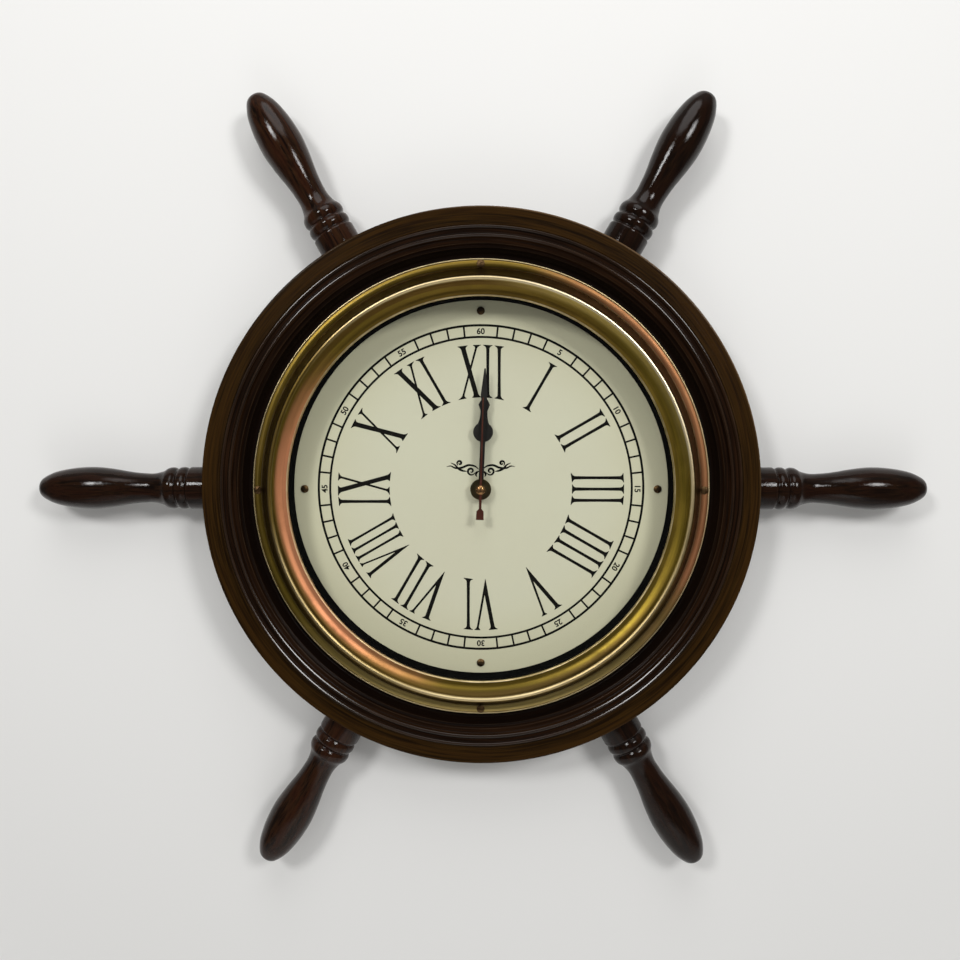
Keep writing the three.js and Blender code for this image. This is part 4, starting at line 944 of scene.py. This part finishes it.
# Bezel: flange, steep wall, ridge, hollow face and lip of one pressed brass ring, as (radius, z, trim)
bezel = {
    "steps": 320, "cornerSteps": 7, "crease": 50, "wearReach": 1.5, "hole": 1.7, "holeFrom": 32.5,
    "holeTo": 37.5,
    "profile": [
        (145.8, 33.8, 0.2), (154.0, 33.8, 0.2), (154.0, 35.6, 0.3), (153.65, 36.15, 0.25),
        (153.1, 36.2, 0.25), (152.7, 35.85, 0.2), (152.1, 36.1, 0.5), (150.7, 36.4, 1.0), (149.2, 36.2, 1.0),
        (148.0, 35.75, 0.5), (147.4, 35.2, 0.35), (146.7, 36.8, 0.7), (143.2, 45, 2.5), (140.9, 51.6, 0.9),
        (139.95, 53.7, 0.45), (138.75, 53.95, 0.35), (137.4, 53.3, 0.7), (136.1, 51.8, 0.9),
        (134.6, 50.75, 1.0), (131.3, 48.98, 1.2), (129.3, 48.80, 0.5), (128.1, 48.75, 0.5),
        (127.5, 48.1, 0.35), (127.5, 47.2, 0.2), (133.2, 47.2, 0.5), (136.7, 49.8, 0.8), (138.8, 51.2, 0.5),
        (141.4, 44.6, 1.5),
    ],
}
flangeHole = cylinder(bezel["hole"], bezel["holeFrom"], bezel["holeTo"])
flangeHoles = joinShells(*[moveShell(flangeHole, (x, y, 0)) for _, x, y in spotsOn(bezelScrew["circle"])])
bezelMesh = cutRing("bezel_pressed", bezel, flangeHoles)
showMesh("bezel_pressed", bezelMesh, bezelBrass, "bezel")

# Screw: a slotted round head over a shank that ends in a point
screw = {"headRadius": 2.7, "headFoot": 0.2, "rim": 0.42, "crown": 1.15, "slotHalf": 0.42, "slotDepth": 0.62,
         "shankRadius": 1.3, "shankTop": 0.3, "shankSteps": 24, "pointRadius": 0.35, "pointLength": 3.0,
         "across": 17, "along": 21}


# Head: rows stand across the slot and columns along it, over the top and back underneath;
# the height is a dome, less the slot's depth where |x| is under its half width
def screwHead():
    half = screw["slotHalf"]
    side = np.sin(np.linspace(0, np.pi / 2, screw["across"]))
    outer = half + (screw["headRadius"] - half) * side
    x = np.concatenate([-outer[::-1], [-half, half], outer])[:, None]
    sunk = np.concatenate([np.zeros(len(outer)), [1, 1], np.zeros(len(outer))])[:, None]
    s = np.sin(np.linspace(-np.pi / 2, np.pi / 2, screw["along"]))
    y = np.sqrt(np.maximum(screw["headRadius"] ** 2 - x**2, 0)) * s
    dome = 1 - (x**2 + y**2) / screw["headRadius"] ** 2
    top = screw["headFoot"] + screw["rim"] + (screw["crown"] - screw["rim"]) * dome
    floor = screw["headFoot"] + screw["crown"] - screw["slotDepth"]
    top = np.where(sunk > 0, np.minimum(top, floor), top)
    wide = x + 0 * y
    upper = np.stack([wide, y, top], axis=-1)
    lower = np.stack([wide, y, screw["headFoot"] + 0 * y], axis=-1)[:, ::-1]
    return gridShell(np.concatenate([upper, lower], axis=1), wrapRows=False)


def screwShell(length, slotDegrees):
    radius, top = screw["shankRadius"], screw["shankTop"]
    point = [(0, -length), (screw["pointRadius"], -length), (radius, screw["pointLength"] - length)]
    shank = turned([*point, (radius, top), (0, top)], screw["shankSteps"], closed=False)
    return turnShell(joinShells(screwHead(), shank), slotDegrees)


for prefix, settings in (("bezel_screw", bezelScrew), ("dial_screw", dialScrew)):
    for (spot, x, y), slotTurn in zip(spotsOn(settings["circle"]), settings["slots"]):
        shell = moveShell(screwShell(settings["length"], slotTurn), (x, y, settings["seat"]))
        addPiece(f"{prefix}_{spot}_slotted", shell, plain["screw_bronze"], f"{prefix}_{spot}")
print("bezel and screws: 9 pieces")

# Dial plate, pane as (radius, z, trim), and gasket as bore, radius, back, front, trim and steps
dial = {"radius": 127.1, "hole": 5.2, "back": 20.0, "front": 22.0, "bevel": 0.12, "steps": 256}
pane = {"steps": 192, "profile": [(0, 44.2, 0), (131.4, 44.2, 0.5), (131.4, 46.6, 0.5), (0, 46.6, 0)]}
gasket = (128.0, 132.0, 43.0, 44.0, 0.4, 192)
dialLoops = [circleLoop(0, 0, dial["radius"], dial["steps"]), circleLoop(0, 0, dial["hole"], steps=64)]
dialLoops += [circleLoop(x, y, pilot["radius"], steps=24) for _, x, y in spotsOn(dialScrew["circle"])]
dialShell = slab(dialLoops, dial["back"], dial["front"], dial["bevel"])
addPiece("dial_plate_painted", dialShell, dialPaint, "dial_plate")
paneShell = softTurned(pane["profile"], pane["steps"], cornerSteps=5, closed=False)
addPiece("glass_pane", paneShell, paneGlass, "glass")
addPiece("glass_gasket_ring", washerShell(*gasket), plain["gasket_rubber"], "glass_gasket")

# Hour numerals: straight strokes between two circles, heads outward, with bracketed serifs
numerals = {
    "words": ["XII", "I", "II", "III", "IIII", "V", "VI", "VII", "VIII", "IX", "X", "XI"],
    "inner": 62.1, "outer": 97.4, "serifLip": 0.35, "bracket": 2.7, "serifEnd": 3.1, "stemFrom": 4.0,
    "rows": 9, "narrow": {"VIII": 0.80}, "gaps": {"II": 7.7, "IX": 12.2, "XI": 12.2, "VI": 11.7},
    "reach": {"I": 3.2, "X": 8.2, "V": 8.6},
}
# Ink: its two heights, and how much lower each stroke, bar or pen line lies than the one it crosses
printing = {"low": 21.99, "high": 22.05, "strokeStep": 0.008, "barStep": 0.006, "penStep": 0.004}
# Strokes: left and right edge at the foot, the same at the head, serif overhang at foot and head, waist
strokes = {
    "I": [((-1.20, 1.20), (-1.20, 1.20), (2.0, 2.0), 0.24)],
    "X": [((3.25, 6.55), (-6.55, -3.25), (1.45, 1.75), 0.10),
          ((-5.62, -4.18), (4.18, 5.62), (2.0, 2.0), 0.0)],
    "V": [((-0.15, 2.60), (-6.85, -4.10), (0.0, 1.75), 0.05),
          ((-1.40, 0.15), (4.80, 6.25), (0.0, 1.35), 0.0)],
}
numeralTall = numerals["outer"] - numerals["inner"]
hourTurn, minuteTurn = 30, 6  # degrees


# Stroke sides at height h: straight edges, drawn in at the waist, plus the serif's cubic flare at each end
def strokeLoop(letter, which):
    foot, head, serif, waist = strokes[letter][which]
    near = np.linspace(0, numerals["serifEnd"], numerals["rows"])
    stem = np.linspace(numerals["stemFrom"], numeralTall - numerals["stemFrom"], numerals["rows"])
    h = np.concatenate([near, stem, numeralTall - near[::-1]])
    s = h / numeralTall
    left, right = foot[0] + (head[0] - foot[0]) * s, foot[1] + (head[1] - foot[1]) * s
    if letter == "V":  # the two legs share a point: neither passes the other's outer edge
        (footLeft, _), (headLeft, _) = strokes["V"][0][:2]
        (_, footRight), (_, headRight) = strokes["V"][1][:2]
        left = np.maximum(left, footLeft + (headLeft - footLeft) * s)
        right = np.minimum(right, footRight + (headRight - footRight) * s)
    drawnIn = waist * (1 - (2 * s - 1) ** 2)
    fromEnds = np.stack([h, numeralTall - h])
    flare = np.clip(1 - (fromEnds - numerals["serifLip"]) / numerals["bracket"], 0, 1) ** 3
    spread = serif[0] * flare[0] + serif[1] * flare[1] - drawnIn
    x = np.concatenate([right + spread, (left - spread)[::-1]])
    return np.column_stack([x, np.concatenate([h, h[::-1]])])


# A numeral stands between the circles: y runs from the inner to the outer one at each x, and the whole turns
def numeralShells(word, hour):
    gaps = [numerals["gaps"][a + b] for a, b in zip(word, word[1:])]
    middle = np.concatenate([[0], np.cumsum(gaps)])
    middle -= (middle[0] - numerals["reach"][word[0]] + middle[-1] + numerals["reach"][word[-1]]) / 2
    shells = []
    for letter, centre in zip(word, middle):
        for which in range(len(strokes[letter])):
            loop = strokeLoop(letter, which)
            x = (loop[:, 0] + centre) * numerals["narrow"].get(word, 1.0)
            foot, head = np.sqrt(numerals["inner"] ** 2 - x**2), np.sqrt(numerals["outer"] ** 2 - x**2)
            y = foot + (head - foot) * loop[:, 1] / numeralTall
            top = printing["high"] - printing["strokeStep"] * which
            shells.append(turnShell(slab([np.column_stack([x, y])], printing["low"], top), hourTurn * hour))
    return shells


# Printed pieces lie on the dial and stand for no node
def printPiece(name, shells):
    addPiece(name, joinShells(*shells), dialInk, "dial_plate", stands=False)


hourShells = [numeralShells(word, hour) for hour, word in enumerate(numerals["words"])]
printPiece("dial_numerals", [shell for shells in hourShells for shell in shells])

# Minute track: two circles, a bar at each minute that isn't a five, and a number at each five
track = {"inner": (101.85, 103.3), "outer": (109.6, 111.15), "barHalf": 0.62, "barOverlap": 0.2,
         "steps": 288, "numberRadius": 106.45, "numberSize": 5.5, "numberFat": 0.15, "numberCurve": 5}


def minuteBars():
    half = track["barHalf"]
    low, high = track["inner"][1] - track["barOverlap"], track["outer"][0] + track["barOverlap"]
    box = [(-half, low), (half, low), (half, high), (-half, high)]
    bar = slab([box], printing["low"], printing["high"] - printing["barStep"])
    return [turnShell(bar, minuteTurn * minute) for minute in range(60) if minute % 5]


trackCircles = [washerShell(*track[key], printing["low"], printing["high"], 0.0, track["steps"])
                for key in ("inner", "outer")]
printPiece("dial_minute_track", trackCircles + minuteBars())


# A number is a text curve made a mesh, moved out to the track and turned to its minute
def numberShell(minute):
    text = bpy.data.curves.new("minute_number", "FONT")
    text.body, text.size = str(minute), track["numberSize"]
    text.align_x, text.align_y = "CENTER", "CENTER"
    text.resolution_u = track["numberCurve"]
    text.extrude = (printing["high"] - printing["low"]) / 2
    text.offset = track["numberFat"]
    holder = addObject("minute_number", text)
    made = finalMesh(holder)
    made.calc_loop_triangles()
    points, faces = np.zeros(len(made.vertices) * 3), np.zeros(len(made.loop_triangles) * 3, int)
    made.vertices.foreach_get("co", points)
    made.loop_triangles.foreach_get("vertices", faces)
    bpy.data.objects.remove(holder)
    bpy.data.curves.remove(text)
    bpy.data.meshes.remove(made)
    points = points.reshape(-1, 3)
    middle = (points.min(axis=0) + points.max(axis=0)) / 2
    points = points - middle + np.array([0, track["numberRadius"], (printing["high"] + printing["low"]) / 2])
    return turnShell((points, [faces.reshape(-1, 3)]), minuteTurn * minute)


printPiece("dial_minute_numbers", [numberShell(minute) for minute in range(5, 61, 5)])

# Flourish above the hub: mirrored pen strokes, two of them wound into scrolls
flourish = {
    "sweep": [(1.3, 13.4), (4.2, 15.6), (8.4, 16.2), (12.6, 14.6), (17.0, 14.2), (20.4, 15.6), (23.2, 15.2)],
    "tail": [(9.6, 12.0), (12.6, 12.5), (15.4, 14.0), (17.6, 16.4), (20.4, 17.8)],
    "drop": [(1.2, 12.2), (2.8, 11.2), (3.3, 9.6), (2.5, 8.4)],
    "scrolls": [{"centre": (6.6, 12.2), "radius": 2.9, "turns": 1.35, "start": 200.0},
                {"centre": (14.4, 17.6), "radius": 1.9, "turns": 1.25, "start": -60.0}],
    "shrink": 0.83, "scrollSteps": 44, "half": 0.76, "tipHalf": 0.16, "swell": 0.8,
}


# Scroll: the radius shrinks evenly to a sixth while the angle winds on
def scrollPath(scroll):
    t = np.linspace(0, 1, flourish["scrollSteps"])
    angle = np.radians(scroll["start"]) + fullTurn * scroll["turns"] * t
    return onCircle(*scroll["centre"], scroll["radius"] * (1 - flourish["shrink"] * t), angle)


def flourishShells():
    paths = [smoothPath(flourish[key]) for key in ("sweep", "tail", "drop")]
    paths += [scrollPath(scroll) for scroll in flourish["scrolls"]]
    shells = []
    for level, path in enumerate(paths):
        t = np.linspace(0, 1, len(path)) ** flourish["swell"]
        half = flourish["tipHalf"] + (flourish["half"] - flourish["tipHalf"]) * np.sin(np.pi * t)
        for mirror in (1, -1):
            loop = ribbonLoop(path, half) * np.array([mirror, 1])
            shells.append(slab([loop], printing["low"], printing["high"] - printing["penStep"] * level))
    return shells


printPiece("dial_flourish", flourishShells())
print("dial: plate, numerals, track, numbers, flourish, pane and gasket")

# Hands, drawn along +y and turned clockwise from twelve
handPlate = {"thickness": 0.6, "bevel": 0.1, "bushGap": 0.02, "bushFoot": 0.05, "bushRise": 0.22,
             "bushTrims": (0.05, 0.05, 0.12, 0.08)}
hourHand = {"z": 27.6, "angle": 2.4, "bore": 2.8, "bush": 4.2, "boss": 7.1, "stemHalf": 1.7, "bulbY": 38.8,
            "bulb": 6.7, "shoulder": 54.4, "curve": (2.4, 47.0), "neck": (2.3, 53.0), "lozenge": (3.9, 57.2),
            "point": (1.6, 61.5), "tip": (0.15, 65.5), "neckSteps": 12}
minuteHand = {"z": 30.2, "angle": 2.1, "bore": 1.8, "bush": 3.0, "boss": 4.6, "stemHalf": 1.5, "stemY": 58.0,
              "blade": (2.3, 64.0), "tip": (0.5, 81.4)}
secondsHand = {"z": 33.0, "angle": 1.6, "bore": 0.7, "bush": 1.6, "boss": 2.6, "half": 0.77,
               "tip": (0.35, 62.0), "tailHalf": 0.9, "tailY": -12.8, "paddleFoot": (2.4, -14.4),
               "paddle": (2.6, -20.3), "collet": 1.3, "colletBack": 0.9, "colletFront": 0.2,
               "colletTrims": (0.05, 0.15, 0.05, 0.05)}
# Cap on the hands' axis, as (radius, height over its foot, trim)
cap = {"z": 33.8, "steps": 64, "profile": [(0, 0, 0), (3.2, 0, 0.1), (3.2, 0.75, 0.5), (2.1, 1.5, 0.8),
                                           (0.9, 1.8, 0.7), (0, 1.8, 0)]}


def mirrored(rightSide):
    rightSide = np.asarray(rightSide, float)
    return withoutDoubles(np.concatenate([rightSide, rightSide[::-1] * np.array([-1, 1])]))


def bossArc(radius, stemHalf, steps=40):
    return arcLine(0, 0, radius, -90, 90 - np.degrees(np.arcsin(stemHalf / radius)), steps)


def hourLoop():
    h = hourHand
    foot = np.degrees(np.arccos(h["stemHalf"] / h["bulb"]))
    bulb = arcLine(0, h["bulbY"], h["bulb"], -foot, h["shoulder"], steps=30)
    t = np.linspace(0, 1, h["neckSteps"])[1:, None]
    neck = (1 - t) ** 2 * bulb[-1] + 2 * t * (1 - t) * np.array(h["curve"]) + t**2 * np.array(h["neck"])
    tip = [h["lozenge"], h["point"], h["tip"]]
    return mirrored(np.concatenate([bossArc(h["boss"], h["stemHalf"]), bulb, neck, tip]))


def minuteLoop():
    m = minuteHand
    blade = [(m["stemHalf"], m["stemY"]), m["blade"], m["tip"]]
    return mirrored(np.concatenate([bossArc(m["boss"], m["stemHalf"]), blade]))


def secondsLoop():
    s = secondsHand
    low = -90 + np.degrees(np.arcsin(s["tailHalf"] / s["boss"]))
    high = 90 - np.degrees(np.arcsin(s["half"] / s["boss"]))
    tail = [s["paddle"], s["paddleFoot"], (s["tailHalf"], s["tailY"])]
    return mirrored(np.concatenate([tail, arcLine(0, 0, s["boss"], low, high, steps=24), [s["tip"]]]))


# A hand is a flat plate with a bored boss; a raised bush round the bore shows where it is pressed on
def handShell(settings, loop):
    low, high = settings["z"], settings["z"] + handPlate["thickness"]
    plate = slab([loop, circleLoop(0, 0, settings["bore"], steps=40)], low, high, handPlate["bevel"])
    bush = washerShell(settings["bore"] + handPlate["bushGap"], settings["bush"],
                       low + handPlate["bushFoot"], high + handPlate["bushRise"], handPlate["bushTrims"],
                       steps=48)
    return turnShell(joinShells(plate, bush), settings["angle"])


addPiece("hour_hand_black", handShell(hourHand, hourLoop()), blackHand, "hour_hand")
addPiece("minute_hand_black", handShell(minuteHand, minuteLoop()), blackHand, "minute_hand")
colletBack = secondsHand["z"] - secondsHand["colletBack"]
colletFront = secondsHand["z"] + secondsHand["colletFront"]
collet = washerShell(secondsHand["bore"], secondsHand["collet"], colletBack, colletFront,
                     secondsHand["colletTrims"], steps=40)
secondsShell = joinShells(handShell(secondsHand, secondsLoop()), collet)
addPiece("seconds_hand_red", secondsShell, plain["hand_dark_red"], "seconds_hand")
capShell = softTurned(cap["profile"], cap["steps"], cornerSteps=7, closed=False)
capShell = moveShell(capShell, (0, 0, cap["z"]))
addPiece("seconds_hand_cap_turned", capShell, plain["cap_copper_brass"], "seconds_hand_cap")
print("hands: hour, minute, seconds and cap")

# Clamp: seal behind the dial, washer and hexagon nut before it, as radius, back, front and trim
clamp = {"bore": 5.1, "seal": (9.0, 19.0, 19.8, 0.2), "washer": (6.9, 22.2, 23.0, 0.12),
         "nut": (6.9, 23.2, 25.4, 0.25)}
clampBrass = plain["arbor_brass"]
sealShell, washer = [washerShell(clamp["bore"], *clamp[key]) for key in ("seal", "washer")]
addPiece("movement_seal_ring", sealShell, plain["gasket_rubber"], "movement_seal")
addPiece("clamp_washer_ring", washer, clampBrass, "clamp_washer")
nutRadius, *nutFaces = clamp["nut"]
nutLoops = [circleLoop(0, 0, nutRadius, steps=6), circleLoop(0, 0, clamp["bore"], steps=48)]
addPiece("clamp_nut_hexagon", slab(nutLoops, *nutFaces), clampBrass, "clamp_nut")

# Movement: case walls and front in one shell, cover plate, knob, cell and contacts
case = {"half": 28.0, "corner": 4.0, "wall": 1.5, "back": 5.6, "front": 18.8, "frontThick": 1.0,
        "bayTop": -11.8, "trainCorner": 2.5, "bayCorner": 0.5, "overlap": 0.4, "bush": 4.9, "bushBore": 2.9,
        "bushTop": 27.0, "bushTrims": (0.1, 0.1, 0.35, 0.1), "pivot": 0.7, "stud": 0.6, "studBack": 14.9,
        "bevel": 0.3}
cover = {"back": 4.2, "front": 5.4, "edge": 27.8, "bottom": -11.8, "bevel": 0.25, "knobHole": 1.8,
         "stud": 0.3, "studFront": 11.6, "overlap": 0.4, "guard": (6.3, 7.6), "guardBack": 3.8,
         "guardFront": 4.5, "guardTrims": (0.15, 0.15, 0.05, 0.05)}
knobAxis = (14.50, 6.76)
# Cell, as (radius, along, trim)
cell = {"y": -19.4, "z": 10.5, "steps": 72,
        "profile": [(0, -24.6, 0), (5.9, -24.6, 0.3), (6.6, -24.6, 0.4), (7.1, -24.0, 0.3), (7.1, 24.0, 0.3),
                    (6.6, 24.6, 0.4), (3.2, 24.5, 0.3), (2.7, 24.6, 0.1), (2.7, 25.6, 0.3), (0, 25.6, 0)]}
contact = {"end": 26.3, "radius": 5.5, "thick": 0.5, "trim": 0.12, "steps": 48, "foot": 3.4, "tip": 1.8,
           "wire": 0.16, "turns": 3.2, "springGap": 0.05, "springEnd": -24.95, "wireSteps": 160,
           "aroundSteps": 10, "taper": 200}


def axisOf(node):
    low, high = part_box(node)
    return (low.x + high.x) / 2 / millimetre, (low.z + high.z) / 2 / millimetre


def pivotHole(axis):
    return circleLoop(*axis, case["pivot"], steps=20)


def movementCase():
    h, inside = case["half"], case["half"] - case["wall"]
    frontBack = case["front"] - case["frontThick"]
    wallFront = frontBack + case["overlap"]
    outer = roundedBox(-h, h, -h, h, case["corner"])
    train = roundedBox(-inside, inside, case["bayTop"] + case["wall"], inside, case["trainCorner"])
    bay = roundedBox(-inside, inside, -inside, case["bayTop"], case["bayCorner"])
    front = [outer, circleLoop(0, 0, case["bushBore"], steps=40), pivotHole(axisOf("third_wheel"))]
    bush = washerShell(case["bushBore"], case["bush"], wallFront, case["bushTop"], case["bushTrims"],
                       steps=48)
    stud = moveShell(cylinder(case["stud"], case["studBack"], wallFront), (*axisOf("minute_wheel"), 0))
    return joinShells(slab(front, frontBack, case["front"], case["bevel"]),
                      slab([outer, train, bay], case["back"], wallFront, case["bevel"]), bush, stud)


def movementCover():
    edge = cover["edge"]
    loops = [roundedBox(-edge, edge, cover["bottom"], edge, case["corner"]),
             circleLoop(*knobAxis, cover["knobHole"], steps=32)]
    loops += [pivotHole(axis) for axis in ((0, 0), axisOf("third_wheel"), axisOf("rotor"))]
    stud = cylinder(cover["stud"], cover["back"] + cover["overlap"], cover["studFront"])
    guard = washerShell(*cover["guard"], cover["guardBack"], cover["guardFront"], cover["guardTrims"],
                        steps=64)
    return joinShells(slab(loops, cover["back"], cover["front"], cover["bevel"]),
                      moveShell(stud, (*axisOf("step_wheel"), 0)), moveShell(guard, (*knobAxis, 0)))


caseBlack = plain["case_black_plastic"]
addPiece("movement_case_moulded", movementCase(), caseBlack, "movement_case")
addPiece("movement_cover_moulded", movementCover(), caseBlack, "movement_cover")


# The cell and its contacts lie along x: profile height becomes x
def lieAlong(shell):
    points, faces = shell
    return np.stack([points[:, 2], cell["y"] + points[:, 0], cell["z"] + points[:, 1]], axis=1), faces


# Coned spring: a round wire carried along a helix whose radius shrinks from foot to tip
def springShell():
    t = np.linspace(0, 1, contact["wireSteps"])
    turn = fullTurn * contact["turns"] * t
    radius = contact["foot"] + (contact["tip"] - contact["foot"]) * t - contact["wire"]
    low, high = contact["thick"] + contact["springGap"] - contact["end"], contact["springEnd"]
    centre = np.stack([radius * np.cos(turn), radius * np.sin(turn), low + (high - low) * t], axis=1)
    around = np.linspace(0, fullTurn, contact["aroundSteps"], endpoint=False)[None, :, None]
    outward = np.stack([np.cos(turn), np.sin(turn), 0 * turn], axis=1)[:, None]
    thick = contact["wire"] * np.minimum(1, np.minimum(t, 1 - t) * contact["taper"])[:, None, None]
    section = outward * np.cos(around) + np.array([0, 0, 1.0]) * np.sin(around)
    return gridShell(centre[:, None] + thick * section, wrapRows=False)


def contactPlate(back):
    front = back + contact["thick"]
    return washerShell(0.0, contact["radius"], back, front, contact["trim"], contact["steps"])


cellShell = softTurned(cell["profile"], cell["steps"], cornerSteps=5, closed=False)
plusShell = contactPlate(contact["end"] - contact["thick"])
minusShell = joinShells(contactPlate(-contact["end"]), springShell())
nickel = plain["contact_nickel"]
addPiece("battery_cell", lieAlong(cellShell), batteryFilm, "battery")
addPiece("battery_contact_plus_plate", lieAlong(plusShell), nickel, "battery_contact_plus")
addPiece("battery_contact_minus_spring", lieAlong(minusShell), nickel,
         "battery_contact_minus")

# Hanger strip with its keyhole, and its two screws, heads towards the wall
mouth = np.degrees(np.arccos(hanger["slotHalf"] / hanger["holeRadius"]))
keyhole = np.concatenate([
    arcLine(0, hanger["holeY"], hanger["holeRadius"], 180 - mouth, 360 + mouth, steps=40),
    arcLine(0, hanger["slotTop"], hanger["slotHalf"], 0, 180, steps=20),
])
half = hanger["halfWidth"]
stripLoops = [roundedBox(-half, half, hanger["bottom"], hanger["top"], hanger["corner"]), keyhole]
stripLoops += [circleLoop(side * hanger["screwX"], hanger["screwY"], hanger["screwHole"], steps=28)
               for side in (-1, 1)]
stripShell = slab(stripLoops, hanger["back"], hanger["front"], hanger["bevel"])
addPiece("hanger_plate_pressed", stripShell, plain["hanger_zinc"], "hanger_plate")
for sideName, (side, slotTurn) in hanger["screws"].items():
    points, faces = screwShell(hanger["screwLength"], slotTurn)
    shell = points * np.array([-1, 1, -1]), faces
    shell = moveShell(shell, (side * hanger["screwX"], hanger["screwY"], hanger["back"]))
    node = f"hanger_screw_{sideName}"
    addPiece(node + "_slotted", shell, plain["screw_bronze"], node)
print("back: clamp, movement, cell, contacts and hanger")

# Wheels, motor and knob keep the shape of their solids: finish, slot and width of the broken edges
wheel = ("wheel_acetal", "white_plastic", 0.03)
dressed = {
    "stator": ("contact_nickel", "spring_steel", 0.08),
    "coil": ("coil_copper", "coil_copper", 0.1),
    "circuit_board": ("board_green", "circuit_board", 0.08),
    "rotor": ("contact_nickel", "spring_steel", 0.04),
    "step_wheel": wheel, "seconds_wheel": wheel, "third_wheel": wheel, "centre_wheel": wheel,
    "minute_arbor": ("arbor_brass", "arbor_brass", 0.05),
    "minute_wheel": ("wheel_acetal", "white_plastic", 0.04),
    "hour_wheel": ("arbor_brass", "arbor_brass", 0.05),
    "setting_knob": ("case_black_plastic", "black_plastic", 0.12),
}
dressing = {"crease": 32, "flatWithin": 0.01, "edgeOver": 35, "segments": 2}


# A merged copy of the solid whose edges are broken by a small bevel
def dressNode(node, finishName, slotName, width):
    mesh = frame["nodes"][node].data.copy()
    tidyMesh(mesh, dressing["crease"])
    shape = bmesh.new()
    shape.from_mesh(mesh)
    bmesh.ops.dissolve_limit(shape, angle_limit=dressing["flatWithin"], verts=shape.verts, edges=shape.edges)
    shape.to_mesh(mesh)
    shape.free()
    piece = showMesh(f"{node}_dressed", mesh, plain[finishName], node)
    bevel = piece.modifiers.new("broken_edges", "BEVEL")
    bevel.width, bevel.segments, bevel.limit_method = width * millimetre, dressing["segments"], "ANGLE"
    bevel.angle_limit = np.radians(dressing["edgeOver"])


for node, dressLook in dressed.items():
    dressNode(node, *dressLook)
print("train:", len(dressed), "pieces keep their solids")

# Stage: a pale wall behind the clock and a pale floor below, both fading into the pale surroundings
stage = {"shade": colour(0.80, 0.795, 0.78), "clear": colour(1.0, 1.0, 1.0), "backdrop": 0.86,
         "wallGap": 0.0006, "floorZ": -0.42, "size": 3.0, "fade": (0.42, 0.80), "openRadius": 0.195}


# A stage sheet catches shadows near the object, and is clear further out and from behind
def stageFinish(name):
    material, tree = newFinish(name, base=stage["shade"], rough=0.9, specular=0.0)
    length = vectors("LENGTH", ownPlace(tree))
    behind = put(tree, "ShaderNodeNewGeometry").outputs["Backfacing"]
    path = put(tree, "ShaderNodeLightPath").outputs
    under = times(path["Is Glossy Ray"], sums("LESS_THAN", length, stage["openRadius"]))
    gone = largest(ramp(length, *stage["fade"]), behind, path["Is Shadow Ray"], path["Is Diffuse Ray"],
                   under)
    letThrough(tree, gone, stage["clear"])
    return material


def stageSheet(name, corners):
    mesh = bpy.data.meshes.new(name)
    mesh.from_pydata(corners, [], [(0, 1, 2, 3)])
    mesh.materials.append(stageFinish(name))
    addObject(name, mesh)


s, wall, floor = stage["size"], wallY + stage["wallGap"], stage["floorZ"]
stageSheet("wall", [(-s, wall, -s), (s, wall, -s), (s, wall, s), (-s, wall, s)])
stageSheet("floor", [(-s, -s, floor), (s, -s, floor), (s, s, floor), (-s, s, floor)])

# World: one pale shade for the eye, and for gloss and glass a softer room, brighter overhead and dim before
# the clock
room = {"fill": 0.32, "shade": colour(1.0, 0.995, 0.98), "front": 0.10, "frontToBack": (-0.30, 0.80),
        "overhead": (0.25, 1.0, 0.0, 0.34)}


def makeWorld():
    world = bpy.data.worlds.new("studio")
    scene.world = world
    world.use_nodes = True
    tree = world.node_tree
    tree.nodes.clear()
    path = put(tree, "ShaderNodeLightPath").outputs
    _, y, z = partsOf(put(tree, "ShaderNodeTexCoord").outputs["Generated"])
    across = ramp(y, *room["frontToBack"], room["front"], stage["backdrop"])
    level = largest(across, ramp(z, *room["overhead"]))
    seen = largest(path["Is Camera Ray"], path["Is Transmission Ray"])
    strength = mixed(seen, mixed(path["Is Glossy Ray"], room["fill"], level), stage["backdrop"])
    background = put(tree, "ShaderNodeBackground", {"Color": room["shade"], "Strength": strength}).outputs[0]
    put(tree, "ShaderNodeOutputWorld", {"Surface": background})


makeWorld()

# Lamps: (place, size, watts), all aimed at the dial
lamps = {
    "upperLeft": ((-0.74, -1.40, 0.74), 0.36, 9.6),
    "upperRight": ((0.80, -1.40, 0.66), 0.42, 10.4),
    "overhead": ((0.0, -0.75, 1.15), 0.9, 5.0),
    "low": ((0.10, -1.0, -1.20), 0.80, 2.0),
    "behind": ((0.5, 1.3, 0.8), 1.2, 9.0),
}


def aimAt(holder, target):
    direction = Vector(target) - holder.location
    holder.rotation_mode = "QUATERNION"
    holder.rotation_quaternion = direction.to_track_quat("-Z", "Y")


for lampName, (place, size, watts) in lamps.items():
    light = bpy.data.lights.new(lampName, "AREA")
    light.shape, light.size, light.energy = "DISK", size, watts
    lamp = addObject(lampName, light)
    lamp.location = place
    aimAt(lamp, (0, 0, 0))

# Camera: where the photograph was taken from, for a square picture
eye = {"distance": 0.6257, "elevation": 4.04, "azimuth": 0.62, "aim": (-0.0006, 0.007, 0.0056),
       "lens": 33.97, "sensor": 36.0, "nearest": 0.01}
camera = addObject("camera", bpy.data.cameras.new("camera"))
elevation, azimuth = np.radians(eye["elevation"]), np.radians(eye["azimuth"])
back = Vector((np.sin(azimuth) * np.cos(elevation), -np.cos(azimuth) * np.cos(elevation), np.sin(elevation)))
camera.location = Vector(eye["aim"]) + back * eye["distance"]
aimAt(camera, eye["aim"])
camera.data.lens, camera.data.sensor_width = eye["lens"], eye["sensor"]
camera.data.clip_start = eye["nearest"]
scene.camera = camera
print("stage, lamps and camera in place")
